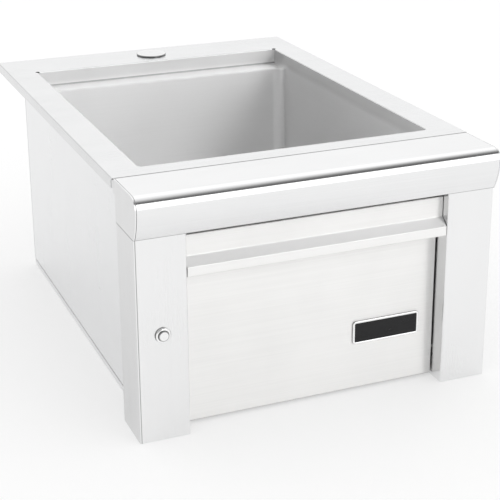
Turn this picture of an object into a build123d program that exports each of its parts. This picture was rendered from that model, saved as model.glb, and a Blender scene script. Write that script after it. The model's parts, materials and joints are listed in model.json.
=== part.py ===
from build123d import *
import math
import os

os.makedirs("parts", exist_ok=True)

# A drop-in outdoor sink: a folded steel box with a deck and a bowl, two legs, a rounded
# front rail and a drop-down access door. Millimetres, +X right, +Y back, +Z up.
# The origin is under the middle of the deck and rail, on the plane that the base stands on.

# Overall sizes
deck_height = 300.0
deck_width = 457.2
deck_depth = 592.5
rail_reach = 79.0

# Sheet thicknesses and clearances
deck_sheet = 1.5
frame_sheet = 1.5
bowl_sheet = 1.2
panel_sheet = 1.2
door_cover_sheet = 1.0
seam_gap = 0.5
loose_fit = 0.3
pin_fit = 0.05
screw_fit = 0.15

# Deck
rim_drop = 12.7
rim_edge_radius = 1.6
rim_corner_radius = 2.5
rim_front_notch = 5.0
opening_width = 375.6
opening_front_margin = 29.0
opening_back_margin = 81.2
opening_edge_radius = 1.3
opening_corner_radius = 6.0
collar_drop = 10.0
corner_relief_radius = 1.9

# Bowl
bowl_depth = 203.0
bowl_corner_radius = 15.0
bowl_floor_radius = 11.0
ledge_drop = 23.0
ledge_depth = 30.0
floor_fall = 2.5
fall_square = 130.0
pad_thickness = 2.5
pad_height = 90.0
front_pad_width = 150.0
side_pad_width = 250.0

# Front rail
rail_height = 50.5
nose_radius = 14.5
face_radius = 67.0
rail_return = 30.0
rail_back_drop = 12.0

# Legs
leg_side_setback = 1.5
leg_front_setout = 67.3
leg_width = 61.7
leg_depth = 63.3
leg_bend_inside = 1.0
leg_back_return = 34.0
plate_tuck = 2.5
plate_tuck_height = 18.0

# Box under the deck
box_side_inset = 20.6
box_back_margin = 77.5
panel_flange = 14.0
pan_edge = 9.0
pan_joint_gap = 1.5
joggle_overlap = 4.0
plumbing_hole_radius = 75.0

# Cross members between the legs
crossbar_height = 34.0
crossbar_flange = 12.0
sill_height = 30.0
sill_flange = 12.0

# Door
door_side_gap = 1.5
door_top_gap = 7.0
door_bottom = 3.0
panel_recess = 23.5
pull_recess = 12.5
nose_recess = 1.3
pull_face_height = 25.4
pull_slope_height = 9.6
pull_nose_height = 12.0
door_thickness = 26.8
door_bend = 1.2
cover_margin = 0.5
cover_flange = 9.0

# Hinge and stop of the door
hinge_height = 20.0
hinge_setback = 5.9
hinge_pin_radius = 3.0
hinge_pin_reach = 11.0
bush_wall = 1.1
bush_flange = 1.0
bush_flange_radius = 5.4
bush_length = 8.0
pin_head_radius = 5.0
pin_head = 2.0
stop_pin_radius = 2.5
stop_pin_orbit = 15.0
stop_pin_reach = 4.5
door_swing = 87.0

# Catches and bumpers of the door
catch_drop = 20.0
catch_side_margin = 73.2
catch_width = 44.0
catch_height = 12.0
catch_wall = 2.0
magnet_depth = 5.0
magnet_width = 26.0
strike_sheet = 1.2
strike_margin = 3.0
catch_air_gap = 0.3
bumper_side_margin = 23.2
bumper_radius = 6.0

# Name plate, left bare
plate_width = 90.5
plate_height = 30.5
plate_side_margin = 20.7
plate_rise = 75.0
plate_rim = 2.2
plate_rim_depth = 2.2
plate_face_depth = 1.4
plate_corner_radius = 4.5

# Push button on the left leg
button_height = 131.9
bezel_radius = 9.5
bezel_depth = 2.4
bezel_chamfer = 1.4
button_seal_depth = 0.6
button_seal_radius = 9.0
barrel_radius = 8.0
barrel_length = 12.0
cap_radius = 6.2
cap_stand = 3.0
cap_edge = 0.4
cap_fit = 0.1
cap_collar_radius = 7.0
cap_collar_depth = 1.5
button_travel = 2.5
stem_radius = 2.0
nut_flats = 19.0
nut_depth = 3.0
switch_length = 12.0
terminal_length = 7.0
terminal_width = 2.8
terminal_sheet = 0.8
terminal_spacing = 6.0
spring_wire_radius = 0.35
spring_radius = 4.2
spring_turns = 5

# Tap hole cover on the deck behind the bowl
tap_hole_radius = 17.5
tap_hole_margin = 41.0
cap_plate_radius = 22.2
cap_plate_depth = 2.0
cap_plate_bevel = 0.6
cap_plate_seal = 0.6
stud_radius = 4.0
stud_length = 26.0
stud_washer_radius = 21.0
stud_washer_depth = 2.0
wing_hub_radius = 7.0
wing_hub_depth = 8.0
wing_span = 34.0
wing_sheet = 3.0
wing_height = 12.0

# Drain strainer
drain_hole_radius = 44.5
strainer_flange_radius = 56.5
strainer_flange = 1.6
strainer_radius = 43.0
strainer_wall = 2.2
cup_depth = 46.0
cup_floor = 3.0
throat_radius = 19.5
outlet_radius = 23.85
outlet_length = 22.0
seat_drop = 4.0
seat_depth = 1.5
seat_width = 3.0
gasket_depth = 3.0
gasket_width = 10.0
slip_washer_depth = 1.0
locknut_depth = 9.0
locknut_wall = 6.0
locknut_lug = 4.0
locknut_lugs = 6

# Strainer basket
basket_sheet = 0.9
basket_depth = 26.0
basket_taper = 4.0
basket_slots = 16
slot_width = 3.2
slot_height = 12.0
basket_holes = 12
basket_hole_radius = 1.9
basket_hole_ring = 24.0
post_radius = 2.6
knob_radius = 7.5
knob_height = 6.0
knob_rise = 4.0
stopper_depth = 5.0
stopper_overlap = 2.5

# Screws
screw_radius = 2.0
screw_head_radius = 4.0
screw_head = 2.2
screw_length = 7.0
screw_edge_gap = 1.5
screws_per_side = 4
screw_end_margin = 30.0
bolt_radius = 2.5
bolt_head_radius = 4.5
bolt_head = 3.0
bolt_length = 8.0
bolts_per_leg = 3
bolt_end_margin = 35.0

# Places that the sizes above lead to
deck_half = deck_width / 2
y_nose = -(deck_depth + rail_reach) / 2
y_seam = y_nose + rail_reach
y_back = y_seam + deck_depth
opening_half = opening_width / 2
opening_front = y_seam + opening_front_margin
opening_back = y_back - opening_back_margin
bowl_back = opening_back - ledge_depth
bowl_floor = deck_height - bowl_depth
bowl_top = deck_height - collar_drop
bowl_middle = (opening_front + bowl_back) / 2
rail_bottom = deck_height - rail_height
leg_bend = leg_bend_inside + frame_sheet
leg_outer = deck_half - leg_side_setback
leg_inner = leg_outer - leg_width
leg_middle = (leg_outer + leg_inner) / 2
leg_front = y_seam - leg_front_setout
leg_back = leg_front + leg_depth
box_half = deck_half - box_side_inset
box_back = y_back - box_back_margin
door_half = leg_inner - door_side_gap
door_top = rail_bottom - door_top_gap
panel_front = leg_front + panel_recess
pull_front = leg_front + pull_recess
pull_nose = leg_front + nose_recess
door_rear = panel_front + door_thickness
cover_rear = door_rear + door_cover_sheet
pull_slope_top = door_top - pull_face_height
pull_slope_foot = pull_slope_top - pull_slope_height
pull_bottom = pull_slope_foot - pull_nose_height
hinge_y = panel_front + hinge_setback
hinge_z = door_bottom + hinge_height
bush_radius = hinge_pin_radius + pin_fit + bush_wall
stop_z = hinge_z + stop_pin_orbit
crossbar_front = leg_back - frame_sheet
catch_x = door_half - catch_side_margin
catch_z = rail_bottom - catch_drop
strike_rear = cover_rear + strike_sheet
plate_x = door_half - plate_side_margin - plate_width / 2
tap_hole_y = y_back - tap_hole_margin
strainer_top = bowl_floor - floor_fall
strainer_seat = strainer_top - strainer_flange
cup_radius = strainer_radius - strainer_wall
outlet_top = strainer_top - cup_depth - cup_floor
outlet_end = outlet_top - outlet_length
basket_rest = strainer_top - seat_drop
basket_rim_radius = cup_radius - loose_fit
basket_wall_radius = cup_radius - seat_width - loose_fit
basket_floor = basket_rest - basket_depth
bezel_back = leg_front - button_seal_depth
bezel_front = bezel_back - bezel_depth
cap_front = bezel_front - cap_stand
barrel_end = leg_front + barrel_length
cap_rear = leg_front + frame_sheet + cap_collar_depth
bolt_x = leg_outer - leg_back_return + bolt_head_radius + frame_sheet


def block(x0, x1, y0, y1, z0, z1):
    """A box from its lowest to its highest corner."""
    centre = Pos((x0 + x1) / 2, (y0 + y1) / 2, (z0 + z1) / 2)
    return centre * Box(x1 - x0, y1 - y0, z1 - z0)


def rod_x(x0, x1, y, z, radius):
    """A cylinder along X."""
    return Pos((x0 + x1) / 2, y, z) * Rot(0, 90, 0) * Cylinder(radius, x1 - x0)


def rod_y(x, y0, y1, z, radius):
    """A cylinder along Y."""
    return Pos(x, (y0 + y1) / 2, z) * Rot(90, 0, 0) * Cylinder(radius, y1 - y0)


def rod_z(x, y, z0, z1, radius):
    """A cylinder along Z."""
    return Pos(x, y, (z0 + z1) / 2) * Cylinder(radius, z1 - z0)


def turned(profile, x, y):
    """A closed outline of (radius, height) points turned about an upright axis."""
    outline = make_face(Polyline([(radius, 0, height) for radius, height in profile], close=True))
    return Pos(x, y, 0) * revolve(outline, Axis.Z)


def mirrored(part):
    """The same piece on the other side of the middle plane."""
    return mirror(part, about=Plane.YZ)


def stands_at(edge, places):
    """Whether an upright edge stands at one of some places in plan."""
    spot = edge.center()
    return any(abs(spot.X - x) < 0.01 and abs(spot.Y - y) < 0.01 for x, y in places)


def round_uprights(part, places, radius):
    """Rounds the upright edges that stand at some places in plan."""
    return fillet([e for e in part.edges().filter_by(Axis.Z) if stands_at(e, places)], radius)


def spread(first, last, count):
    """Evenly spaced places from the first to the last."""
    return [first + (last - first) * i / (count - 1) for i in range(count)]


def group(solids):
    """Several separate solids of one kind."""
    return Compound(children=list(solids))


def save(node, part):
    part.label = node
    export_step(part, os.path.join("parts", node + ".step"))


def deck():
    """The top sheet with its turned-down rim and a collar round the bowl's opening."""
    rim_bottom = deck_height - rim_drop
    under = deck_height - deck_sheet
    shell = block(-deck_half, deck_half, y_seam, y_back, rim_bottom, deck_height)
    shell = round_uprights(shell, [(-deck_half, y_back), (deck_half, y_back)], rim_corner_radius)
    top_edges = [e for e in shell.edges().group_by(Axis.Z)[-1] if e.center().Y > y_seam + 1]
    shell = fillet(top_edges, rim_edge_radius)
    shell -= block(-deck_half + deck_sheet, deck_half - deck_sheet, y_seam + deck_sheet,
                   y_back - deck_sheet, rim_bottom, under)
    wide = opening_half + deck_sheet
    collar = block(-wide, wide, opening_front - deck_sheet, opening_back + deck_sheet, bowl_top, under)
    collar = round_uprights(collar, [(-wide, opening_front - deck_sheet), (wide, opening_front - deck_sheet)],
                            opening_corner_radius + deck_sheet)
    opening = block(-opening_half, opening_half, opening_front, opening_back, rim_bottom, deck_height)
    opening = round_uprights(opening, [(-opening_half, opening_front), (opening_half, opening_front)],
                             opening_corner_radius)
    sheet = shell + collar - opening
    mouth = []
    for edge in sheet.edges().group_by(Axis.Z)[-1]:
        spot = edge.center()
        if abs(spot.X) < opening_half + 1 and opening_front - 1 < spot.Y < opening_back + 1:
            mouth.append(edge)
    sheet = fillet(mouth, opening_edge_radius)
    for side in (-1, 1):
        sheet -= rod_z(side * opening_half, opening_back, rim_bottom, deck_height, corner_relief_radius)
        notch = sorted((side * deck_half, side * (leg_outer - frame_sheet - seam_gap)))
        sheet -= block(notch[0], notch[1], y_seam, y_seam + rim_front_notch, rim_bottom, under)
    return sheet - rod_z(0, tap_hole_y, rim_bottom, deck_height, tap_hole_radius)


def bowl_form(grow, top):
    """The bowl's hollow, or its outside when grown by the thickness of its sheet."""
    half = opening_half + grow
    front = opening_front - grow
    low = block(-half, half, front, bowl_back + grow, bowl_floor - grow, top)
    low = fillet(low.edges().filter_by(Axis.Z), bowl_corner_radius + grow)
    low = fillet(low.edges().group_by(Axis.Z)[0], bowl_floor_radius + grow)
    high = block(-half, half, front, opening_back + grow, deck_height - ledge_drop - grow, top)
    high = round_uprights(high, [(-half, front), (half, front)], opening_corner_radius + grow)
    floor_width = opening_width - 2 * bowl_floor_radius
    floor_length = bowl_back - opening_front - 2 * bowl_floor_radius
    wide = Pos(0, bowl_middle, bowl_floor - grow) * Rectangle(floor_width, floor_length)
    narrow = Pos(0, bowl_middle, strainer_top - grow) * Rectangle(fall_square, fall_square)
    return low + high + loft([wide, narrow])


def basin():
    """The bowl: a ledge along the back, a floor that falls to the drain and a seat for the strainer."""
    shell = bowl_form(bowl_sheet, bowl_top) - bowl_form(0, bowl_top + 1)
    recess = strainer_flange_radius + loose_fit
    shell += rod_z(0, bowl_middle, strainer_seat - bowl_sheet, strainer_top, recess + bowl_sheet)
    shell -= rod_z(0, bowl_middle, strainer_seat, strainer_top + 1, recess)
    return shell - rod_z(0, bowl_middle, strainer_seat - bowl_sheet - 1, strainer_top, drain_hole_radius)


def basin_pads():
    """Sound-deadening pads stuck to the bowl's front and side walls."""
    top = bowl_floor + bowl_depth / 2 + pad_height / 2
    bottom = top - pad_height
    front = opening_front - bowl_sheet
    side = opening_half + bowl_sheet
    y0 = bowl_middle - side_pad_width / 2
    y1 = bowl_middle + side_pad_width / 2
    return group([
        block(-front_pad_width / 2, front_pad_width / 2, front - pad_thickness, front, bottom, top),
        block(side, side + pad_thickness, y0, y1, bottom, top),
        block(-side - pad_thickness, -side, y0, y1, bottom, top),
    ])


def rail_section(inward):
    """The rail's filled section, seen from the side: flat top, small nose arc and large face arc."""
    back = y_seam - seam_gap - inward
    top = deck_height - inward
    foot = rail_bottom + inward
    nose_y = y_nose + nose_radius
    nose_z = deck_height - nose_radius
    nose = nose_radius - inward
    face_y = y_nose + face_radius
    face = face_radius - inward

    def on_face(z):
        return face_y - math.sqrt(face ** 2 - (nose_z - z) ** 2)

    slant = nose * math.sqrt(0.5)
    half_way = (nose_z + foot) / 2
    flat = Line((0, back, top), (0, nose_y, top))
    bend = ThreePointArc((0, nose_y, top), (0, nose_y - slant, nose_z + slant), (0, nose_y - nose, nose_z))
    curve = ThreePointArc((0, nose_y - nose, nose_z), (0, on_face(half_way), half_way), (0, on_face(foot), foot))
    rest = Polyline((0, on_face(foot), foot), (0, back, foot), (0, back, top))
    return make_face([*flat.edges(), *bend.edges(), *curve.edges(), *rest.edges()])


def rail_foot():
    """Where the rail's face meets its underside."""
    drop = rail_height - nose_radius
    return y_nose + face_radius - math.sqrt(face_radius ** 2 - drop ** 2)


def along_x(section, x0, x1):
    """A side-view section carried along X."""
    return Pos(x0, 0, 0) * extrude(section, x1 - x0, dir=(1, 0, 0))


def front_rail():
    """The rounded rail: one folded sheet between the legs' side plates."""
    half = leg_outer - frame_sheet - seam_gap
    shell = along_x(rail_section(0), -half, half) - along_x(rail_section(frame_sheet), -half - 1, half + 1)
    return shell - block(-half, half, rail_foot() + rail_return, y_seam, rail_bottom, deck_height - rail_back_drop)


def leg():
    """The right leg: a folded post whose outer side runs up as the plate that closes the rail's end."""
    rounded = [(leg_inner, leg_front), (leg_outer, leg_front), (leg_outer, leg_back)]
    column = block(leg_inner, leg_outer, leg_front, leg_back, 0, rail_bottom)
    column = round_uprights(column, rounded, leg_bend)
    x0 = leg_inner + frame_sheet
    x1 = leg_outer - frame_sheet
    y0 = leg_front + frame_sheet
    y1 = leg_back - frame_sheet
    hollow = round_uprights(block(x0, x1, y0, y1, 0, rail_bottom), [(x0, y0), (x1, y0), (x1, y1)],
                            leg_bend_inside)
    column -= hollow
    column -= block(x0, leg_outer - leg_back_return, y1 - 1, leg_back, 0, rail_bottom)
    plate = along_x(rail_section(0), x1, leg_outer)
    plate -= block(x1, leg_outer, leg_back, y_seam, rail_bottom, deck_height - plate_tuck_height)
    tuck = block(x1, leg_outer, y_seam - seam_gap, y_seam + plate_tuck, deck_height - plate_tuck_height,
                 deck_height - deck_sheet)
    post = column + plate + tuck
    post -= rod_x(leg_inner - 1, x0 + 1, hinge_y, hinge_z, hinge_pin_radius + pin_fit)
    post -= rod_x(leg_inner - 1, x0 + 1, hinge_y, stop_z, stop_pin_radius + pin_fit)
    for z in bolt_heights():
        post -= rod_y(bolt_x, y1 - 1, leg_back + 1, z, bolt_radius + screw_fit)
    return post


def left_leg():
    """The left leg, which has the hole for the push button."""
    hole = rod_y(-leg_middle, leg_front - 1, leg_front + frame_sheet + 1, button_height, barrel_radius + loose_fit)
    return mirrored(leg()) - hole


def bolt_heights():
    return spread(bolt_end_margin, rail_bottom - bolt_end_margin, bolts_per_leg)


def leg_bolts():
    """Bolts through the legs' back returns into the side panels' front flanges, with their nuts."""
    bolts = []
    head_face = leg_back - frame_sheet
    nut_face = leg_back + panel_sheet
    for side in (-1, 1):
        for z in bolt_heights():
            shank = rod_y(side * bolt_x, head_face, head_face + bolt_length, z, bolt_radius)
            head = rod_y(side * bolt_x, head_face - bolt_head, head_face, z, bolt_head_radius)
            nut = extrude(RegularPolygon(bolt_head_radius, 6), bolt_head)
            nut = Pos(side * bolt_x, nut_face + bolt_head, z) * Rot(90, 0, 0) * nut
            bolts.append(shank + head + nut)
    return group(bolts)


def side_panel():
    """The right side of the box, with flanges turned in and a joggled foot behind the bottom pan's edge."""
    outer = box_half
    inner = box_half - panel_sheet
    foot = pan_edge + pan_joint_gap
    top = deck_height - deck_sheet
    end = box_back - panel_sheet
    panel = block(inner, outer, leg_back, end, foot, top)
    panel += block(inner - panel_sheet, inner, leg_back + panel_sheet, end, pan_edge - joggle_overlap,
                   foot + joggle_overlap)
    panel += block(outer - panel_flange, outer, leg_back, leg_back + panel_sheet, foot, top)
    panel += block(outer - panel_flange, outer, end - panel_sheet, end, foot, top)
    panel += block(outer - panel_flange, outer, leg_back, end, top - panel_sheet, top)
    panel -= block(outer - panel_flange, outer, leg_back, y_seam + deck_sheet + seam_gap,
                   deck_height - rim_drop - seam_gap, top)
    for z in bolt_heights():
        panel -= rod_y(bolt_x, leg_back - 1, leg_back + panel_sheet + 1, z, bolt_radius + screw_fit)
    for z in screw_heights():
        panel -= rod_y(screw_x(), end - panel_sheet - 1, end + 1, z, screw_radius + screw_fit)
    return panel


def screw_x():
    """How far the back panel's screws stand from the middle."""
    return box_half - panel_sheet - screw_head_radius - screw_edge_gap


def screw_heights():
    return spread(pan_edge + screw_end_margin, deck_height - screw_end_margin, screws_per_side)


def back_panel():
    """The back of the box, screwed to the side panels' flanges."""
    panel = block(-box_half, box_half, box_back - panel_sheet, box_back, pan_edge + pan_joint_gap,
                  deck_height - deck_sheet)
    panel += block(-box_half + panel_flange, box_half - panel_flange, box_back - 2 * panel_sheet,
                   box_back - panel_sheet, pan_edge - joggle_overlap, pan_edge + pan_joint_gap + joggle_overlap)
    for side in (-1, 1):
        for z in screw_heights():
            panel -= rod_y(side * screw_x(), box_back - panel_sheet - 1, box_back + 1, z, screw_radius + screw_fit)
    return panel


def back_screws():
    """Pan-head screws along both sides of the back panel."""
    screws = []
    for side in (-1, 1):
        for z in screw_heights():
            shank = rod_y(side * screw_x(), box_back - screw_length, box_back, z, screw_radius)
            head = rod_y(side * screw_x(), box_back, box_back + screw_head, z, screw_head_radius)
            rim = [e for e in head.edges() if e.center().Y > box_back + screw_head - 0.01]
            screws.append(shank + fillet(rim, screw_head / 2))
    return group(screws)


def bottom_pan():
    """The bottom sheet with a turned-up edge and a round opening for the drain and the supply pipes."""
    pan = block(-box_half, box_half, leg_back, box_back, 0, pan_edge)
    pan -= block(-box_half + panel_sheet, box_half - panel_sheet, leg_back + panel_sheet,
                 box_back - panel_sheet, panel_sheet, pan_edge)
    return pan - rod_z(0, bowl_middle, -1, panel_sheet + 1, plumbing_hole_radius)


def crossbar():
    """The angle between the legs under the rail, which carries the catches and bumpers."""
    bottom = rail_bottom - crossbar_height
    bar = block(-leg_inner, leg_inner, crossbar_front, leg_back, bottom, rail_bottom)
    return bar + block(-leg_inner, leg_inner, crossbar_front, leg_back + crossbar_flange,
                       rail_bottom - frame_sheet, rail_bottom)


def front_sill():
    """The angle between the legs at the bottom, in front of the bottom pan."""
    bar = block(-leg_inner, leg_inner, crossbar_front, leg_back, 0, sill_height)
    return bar + block(-leg_inner, leg_inner, crossbar_front, leg_back + sill_flange,
                       sill_height - frame_sheet, sill_height)


def headed_pin(radius, reach, z):
    """A pin from inside the right leg, through its inner side and out towards the door."""
    wall = leg_inner + frame_sheet
    return rod_x(leg_inner - reach, wall, hinge_y, z, radius) + rod_x(wall, wall + pin_head, hinge_y, z, pin_head_radius)


def pair(part):
    """A right-hand piece and its mirror image, as one node."""
    return group([part, mirrored(part)])


def stop_slot():
    """A slot round the hinge, as long as the door's swing, cut right across the door's sides."""
    outer = stop_pin_orbit + stop_pin_radius + loose_fit
    inner = stop_pin_orbit - stop_pin_radius - loose_fit
    end = door_half + 1
    ring = rod_x(-end, end, hinge_y, hinge_z, outer) - rod_x(-end, end, hinge_y, hinge_z, inner)
    wedge = block(-end, end, hinge_y, hinge_y + outer + 1, hinge_z, hinge_z + outer + 1)
    if door_swing < 90:
        past = Pos(0, hinge_y, hinge_z) * Rot(-door_swing, 0, 0) * Pos(0, -hinge_y, -hinge_z) * wedge
        wedge -= past
    slot = ring & wedge
    for angle in (90, 90 - door_swing):
        y = hinge_y + stop_pin_orbit * math.cos(math.radians(angle))
        z = hinge_z + stop_pin_orbit * math.sin(math.radians(angle))
        slot += rod_x(-end, end, y, z, stop_pin_radius + loose_fit)
    return slot


def door_panel():
    """The door's lower skin: a shallow pan with slots in its sides that ride on the stop pins."""
    pan = block(-door_half, door_half, panel_front, door_rear, door_bottom, pull_bottom)
    front = [e for e in pan.edges() if e.center().Y < panel_front + 0.01 and e.center().Z < pull_bottom - 0.01]
    pan = fillet(front, door_bend)
    pan -= block(-door_half + panel_sheet, door_half - panel_sheet, panel_front + panel_sheet, door_rear,
                 door_bottom + panel_sheet, pull_bottom - panel_sheet)
    pan -= rod_x(-door_half - 1, door_half + 1, hinge_y, hinge_z, bush_radius + pin_fit)
    return pan - stop_slot()


def pull_section(inward):
    """The pull's section: a flat face, a slope out to the nose and a flat underside."""
    run = pull_front - pull_nose
    slant = math.hypot(run, pull_slope_height)
    shift = inward * (slant - pull_slope_height) / run
    return make_face(Polyline([
        (0, door_rear, door_top - inward),
        (0, pull_front + inward, door_top - inward),
        (0, pull_front + inward, pull_slope_top - shift),
        (0, pull_nose + inward, pull_slope_foot - shift),
        (0, pull_nose + inward, pull_bottom + inward),
        (0, door_rear, pull_bottom + inward),
    ], close=True))


def door_pull():
    """The door's upper skin, folded out into a pull as wide as the door, with closed ends."""
    inside = door_half - panel_sheet
    return along_x(pull_section(0), -door_half, door_half) - along_x(pull_section(panel_sheet), -inside, inside)


def door_cover():
    """The door's back sheet, with a flange on each side that fits inside the skins."""
    half = door_half - cover_margin
    bottom = door_bottom + cover_margin
    top = door_top - cover_margin
    cover = block(-half, half, door_rear, cover_rear, bottom, top)
    outer = door_half - panel_sheet - loose_fit
    low = pull_bottom + panel_sheet + loose_fit
    for side in (-1, 1):
        flange = sorted((side * outer, side * (outer - door_cover_sheet)))
        cover += block(flange[0], flange[1], door_rear - cover_flange, door_rear, low, top - cover_flange)
    return cover


def hinge_bush():
    """The right-hand plastic bush that lines the hinge hole in the door's side."""
    inner_end = door_half - bush_length
    bush = rod_x(inner_end, door_half + bush_flange, hinge_y, hinge_z, bush_radius)
    bush += rod_x(door_half, door_half + bush_flange, hinge_y, hinge_z, bush_flange_radius)
    return bush - rod_x(inner_end - 1, door_half + bush_flange + 1, hinge_y, hinge_z, hinge_pin_radius + pin_fit)


def catch_body():
    """The right-hand magnet holder on the crossbar, open towards the door."""
    x = catch_x
    face = strike_rear + catch_air_gap
    body = block(x - catch_width / 2, x + catch_width / 2, face, crossbar_front, catch_z - catch_height / 2,
                 catch_z + catch_height / 2)
    return body - block(x - magnet_width / 2, x + magnet_width / 2, face, face + magnet_depth,
                        catch_z - catch_height / 2 + catch_wall, catch_z + catch_height / 2 - catch_wall)


def catch_magnet():
    """The right-hand magnet, flush in its holder."""
    x = catch_x
    face = strike_rear + catch_air_gap
    return block(x - magnet_width / 2, x + magnet_width / 2, face, face + magnet_depth,
                 catch_z - catch_height / 2 + catch_wall, catch_z + catch_height / 2 - catch_wall)


def strike():
    """The right-hand steel strip on the door's back that the magnet holds."""
    x = catch_x
    half = catch_width / 2 + strike_margin
    rise = catch_height / 2 + strike_margin
    return block(x - half, x + half, cover_rear, strike_rear, catch_z - rise, catch_z + rise)


def bumper():
    """The right-hand rubber bumper that the closed door rests on."""
    return rod_y(door_half - bumper_side_margin, cover_rear, crossbar_front, catch_z, bumper_radius)


def plate_outline(inward, y0, y1):
    """A rounded rectangle as large as the name plate, between two depths."""
    width = plate_width - 2 * inward
    height = plate_height - 2 * inward
    outline = RectangleRounded(width, height, plate_corner_radius - inward)
    slab = extrude(outline, y1 - y0)
    return Pos(plate_x, y1, door_bottom + plate_rise) * Rot(90, 0, 0) * slab


def plate_rim_frame():
    """The bright rim round the bare name plate."""
    return plate_outline(0, panel_front - plate_rim_depth, panel_front) - plate_outline(
        plate_rim, panel_front - plate_rim_depth - 1, panel_front + 1)


def plate_face():
    """The dark face of the bare name plate."""
    return plate_outline(plate_rim, panel_front - plate_face_depth, panel_front)


def button_bezel():
    """The button's bright ring and the barrel behind it, with a shoulder that keeps the cap in."""
    x, z = -leg_middle, button_height
    ring = rod_y(x, bezel_front, bezel_back, z, bezel_radius)
    ring = chamfer([e for e in ring.edges() if e.center().Y < bezel_front + 0.01], bezel_chamfer)
    ring += rod_y(x, bezel_back, barrel_end, z, barrel_radius)
    ring -= rod_y(x, bezel_front - 1, barrel_end + 1, z, cap_radius + cap_fit)
    return ring - rod_y(x, cap_rear - cap_collar_depth, barrel_end + 1, z, cap_collar_radius + cap_fit)


def button_seal():
    """The rubber ring between the bezel and the leg."""
    ring = rod_y(-leg_middle, bezel_back, leg_front, button_height, button_seal_radius)
    return ring - rod_y(-leg_middle, bezel_back - 1, leg_front + 1, button_height, barrel_radius + screw_fit)


def button_cap():
    """The flat cap that is pressed, with its collar and the stem that reaches the switch."""
    x, z = -leg_middle, button_height
    cap = rod_y(x, cap_front, cap_rear, z, cap_radius)
    cap = chamfer([e for e in cap.edges() if e.center().Y < cap_front + 0.01], cap_edge)
    cap += rod_y(x, cap_rear - cap_collar_depth, cap_rear, z, cap_collar_radius)
    return cap + rod_y(x, cap_rear, barrel_end + 1, z, stem_radius)


def button_spring():
    """The coil that pushes the cap out again, from its collar back to the switch."""
    length = barrel_end - cap_rear - 2 * spring_wire_radius
    path = Helix(length / spring_turns, length, spring_radius)
    coil = sweep(Plane(path @ 0, z_dir=path % 0) * Circle(spring_wire_radius), path, is_frenet=True)
    return Pos(-leg_middle, barrel_end - spring_wire_radius, button_height) * Rot(90, 0, 0) * coil


def button_nut():
    """The hexagon nut behind the leg's front sheet."""
    start = leg_front + frame_sheet
    nut = extrude(RegularPolygon(nut_flats / 2, 6, major_radius=False), nut_depth)
    nut = Pos(-leg_middle, start + nut_depth, button_height) * Rot(90, 0, 0) * nut
    return nut - rod_y(-leg_middle, start - 1, start + nut_depth + 1, button_height, barrel_radius + screw_fit)


def switch_body():
    """The switch behind the button, with two flat terminals and no lead."""
    x, z = -leg_middle, button_height
    end = barrel_end + switch_length
    body = rod_y(x, barrel_end, end, z, barrel_radius)
    body -= rod_y(x, barrel_end - 1, barrel_end + 1 + button_travel + 1, z, stem_radius + loose_fit)
    for side in (-1, 1):
        middle = x + side * terminal_spacing / 2
        body += block(middle - terminal_sheet / 2, middle + terminal_sheet / 2, end, end + terminal_length,
                      z - terminal_width / 2, z + terminal_width / 2)
    return body


def tap_hole_cover():
    """The round cover over the unused tap hole, with its stud."""
    seal_top = deck_height + cap_plate_seal
    top = seal_top + cap_plate_depth
    foot = top - stud_length
    return turned([
        (0, top), (cap_plate_radius - cap_plate_bevel, top), (cap_plate_radius, top - cap_plate_bevel),
        (cap_plate_radius, seal_top), (stud_radius, seal_top), (stud_radius, foot), (0, foot),
    ], 0, tap_hole_y)


def ring_z(y, z0, z1, inner, outer):
    """A flat ring about an upright axis."""
    return rod_z(0, y, z0, z1, outer) - rod_z(0, y, z0 - 1, z1 + 1, inner)


def cover_seal():
    """The thin gasket under the tap hole cover."""
    return ring_z(tap_hole_y, deck_height, deck_height + cap_plate_seal, tap_hole_radius, cap_plate_radius - cap_plate_bevel)


def cover_washer():
    """The wide washer that the wing nut pulls up against the deck."""
    top = deck_height - deck_sheet
    return ring_z(tap_hole_y, top - stud_washer_depth, top, stud_radius + screw_fit, stud_washer_radius)


def cover_wing_nut():
    """The wing nut on the cover's stud."""
    top = deck_height - deck_sheet - stud_washer_depth
    nut = rod_z(0, tap_hole_y, top - wing_hub_depth, top, wing_hub_radius)
    low = top - wing_hub_depth / 2
    nut += block(-wing_span / 2, wing_span / 2, tap_hole_y - wing_sheet / 2, tap_hole_y + wing_sheet / 2,
                 low - wing_height, low)
    return nut - rod_z(0, tap_hole_y, low - wing_height - 1, top + 1, stud_radius + screw_fit)


def strainer_body():
    """The drain's flanged cup with an inner seat for the basket and a threaded outlet below."""
    top = strainer_top
    seat = basket_rest
    return turned([
        (strainer_flange_radius, top), (strainer_flange_radius, strainer_seat),
        (strainer_radius, strainer_seat), (strainer_radius, outlet_top), (outlet_radius, outlet_top),
        (outlet_radius, outlet_end), (throat_radius, outlet_end), (throat_radius, top - cup_depth),
        (cup_radius, top - cup_depth), (cup_radius, seat - seat_depth), (cup_radius - seat_width, seat - seat_depth),
        (cup_radius - seat_width, seat), (cup_radius, seat), (cup_radius, top),
    ], 0, bowl_middle)


def drain_gasket():
    """The rubber ring under the bowl, round the strainer."""
    top = strainer_seat - bowl_sheet
    return ring_z(bowl_middle, top - gasket_depth, top, strainer_radius + loose_fit, strainer_radius + gasket_width)


def slip_washer():
    """The thin washer that lets the locknut turn against the gasket."""
    top = strainer_seat - bowl_sheet - gasket_depth
    return ring_z(bowl_middle, top - slip_washer_depth, top, strainer_radius + loose_fit, strainer_radius + gasket_width)


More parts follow.
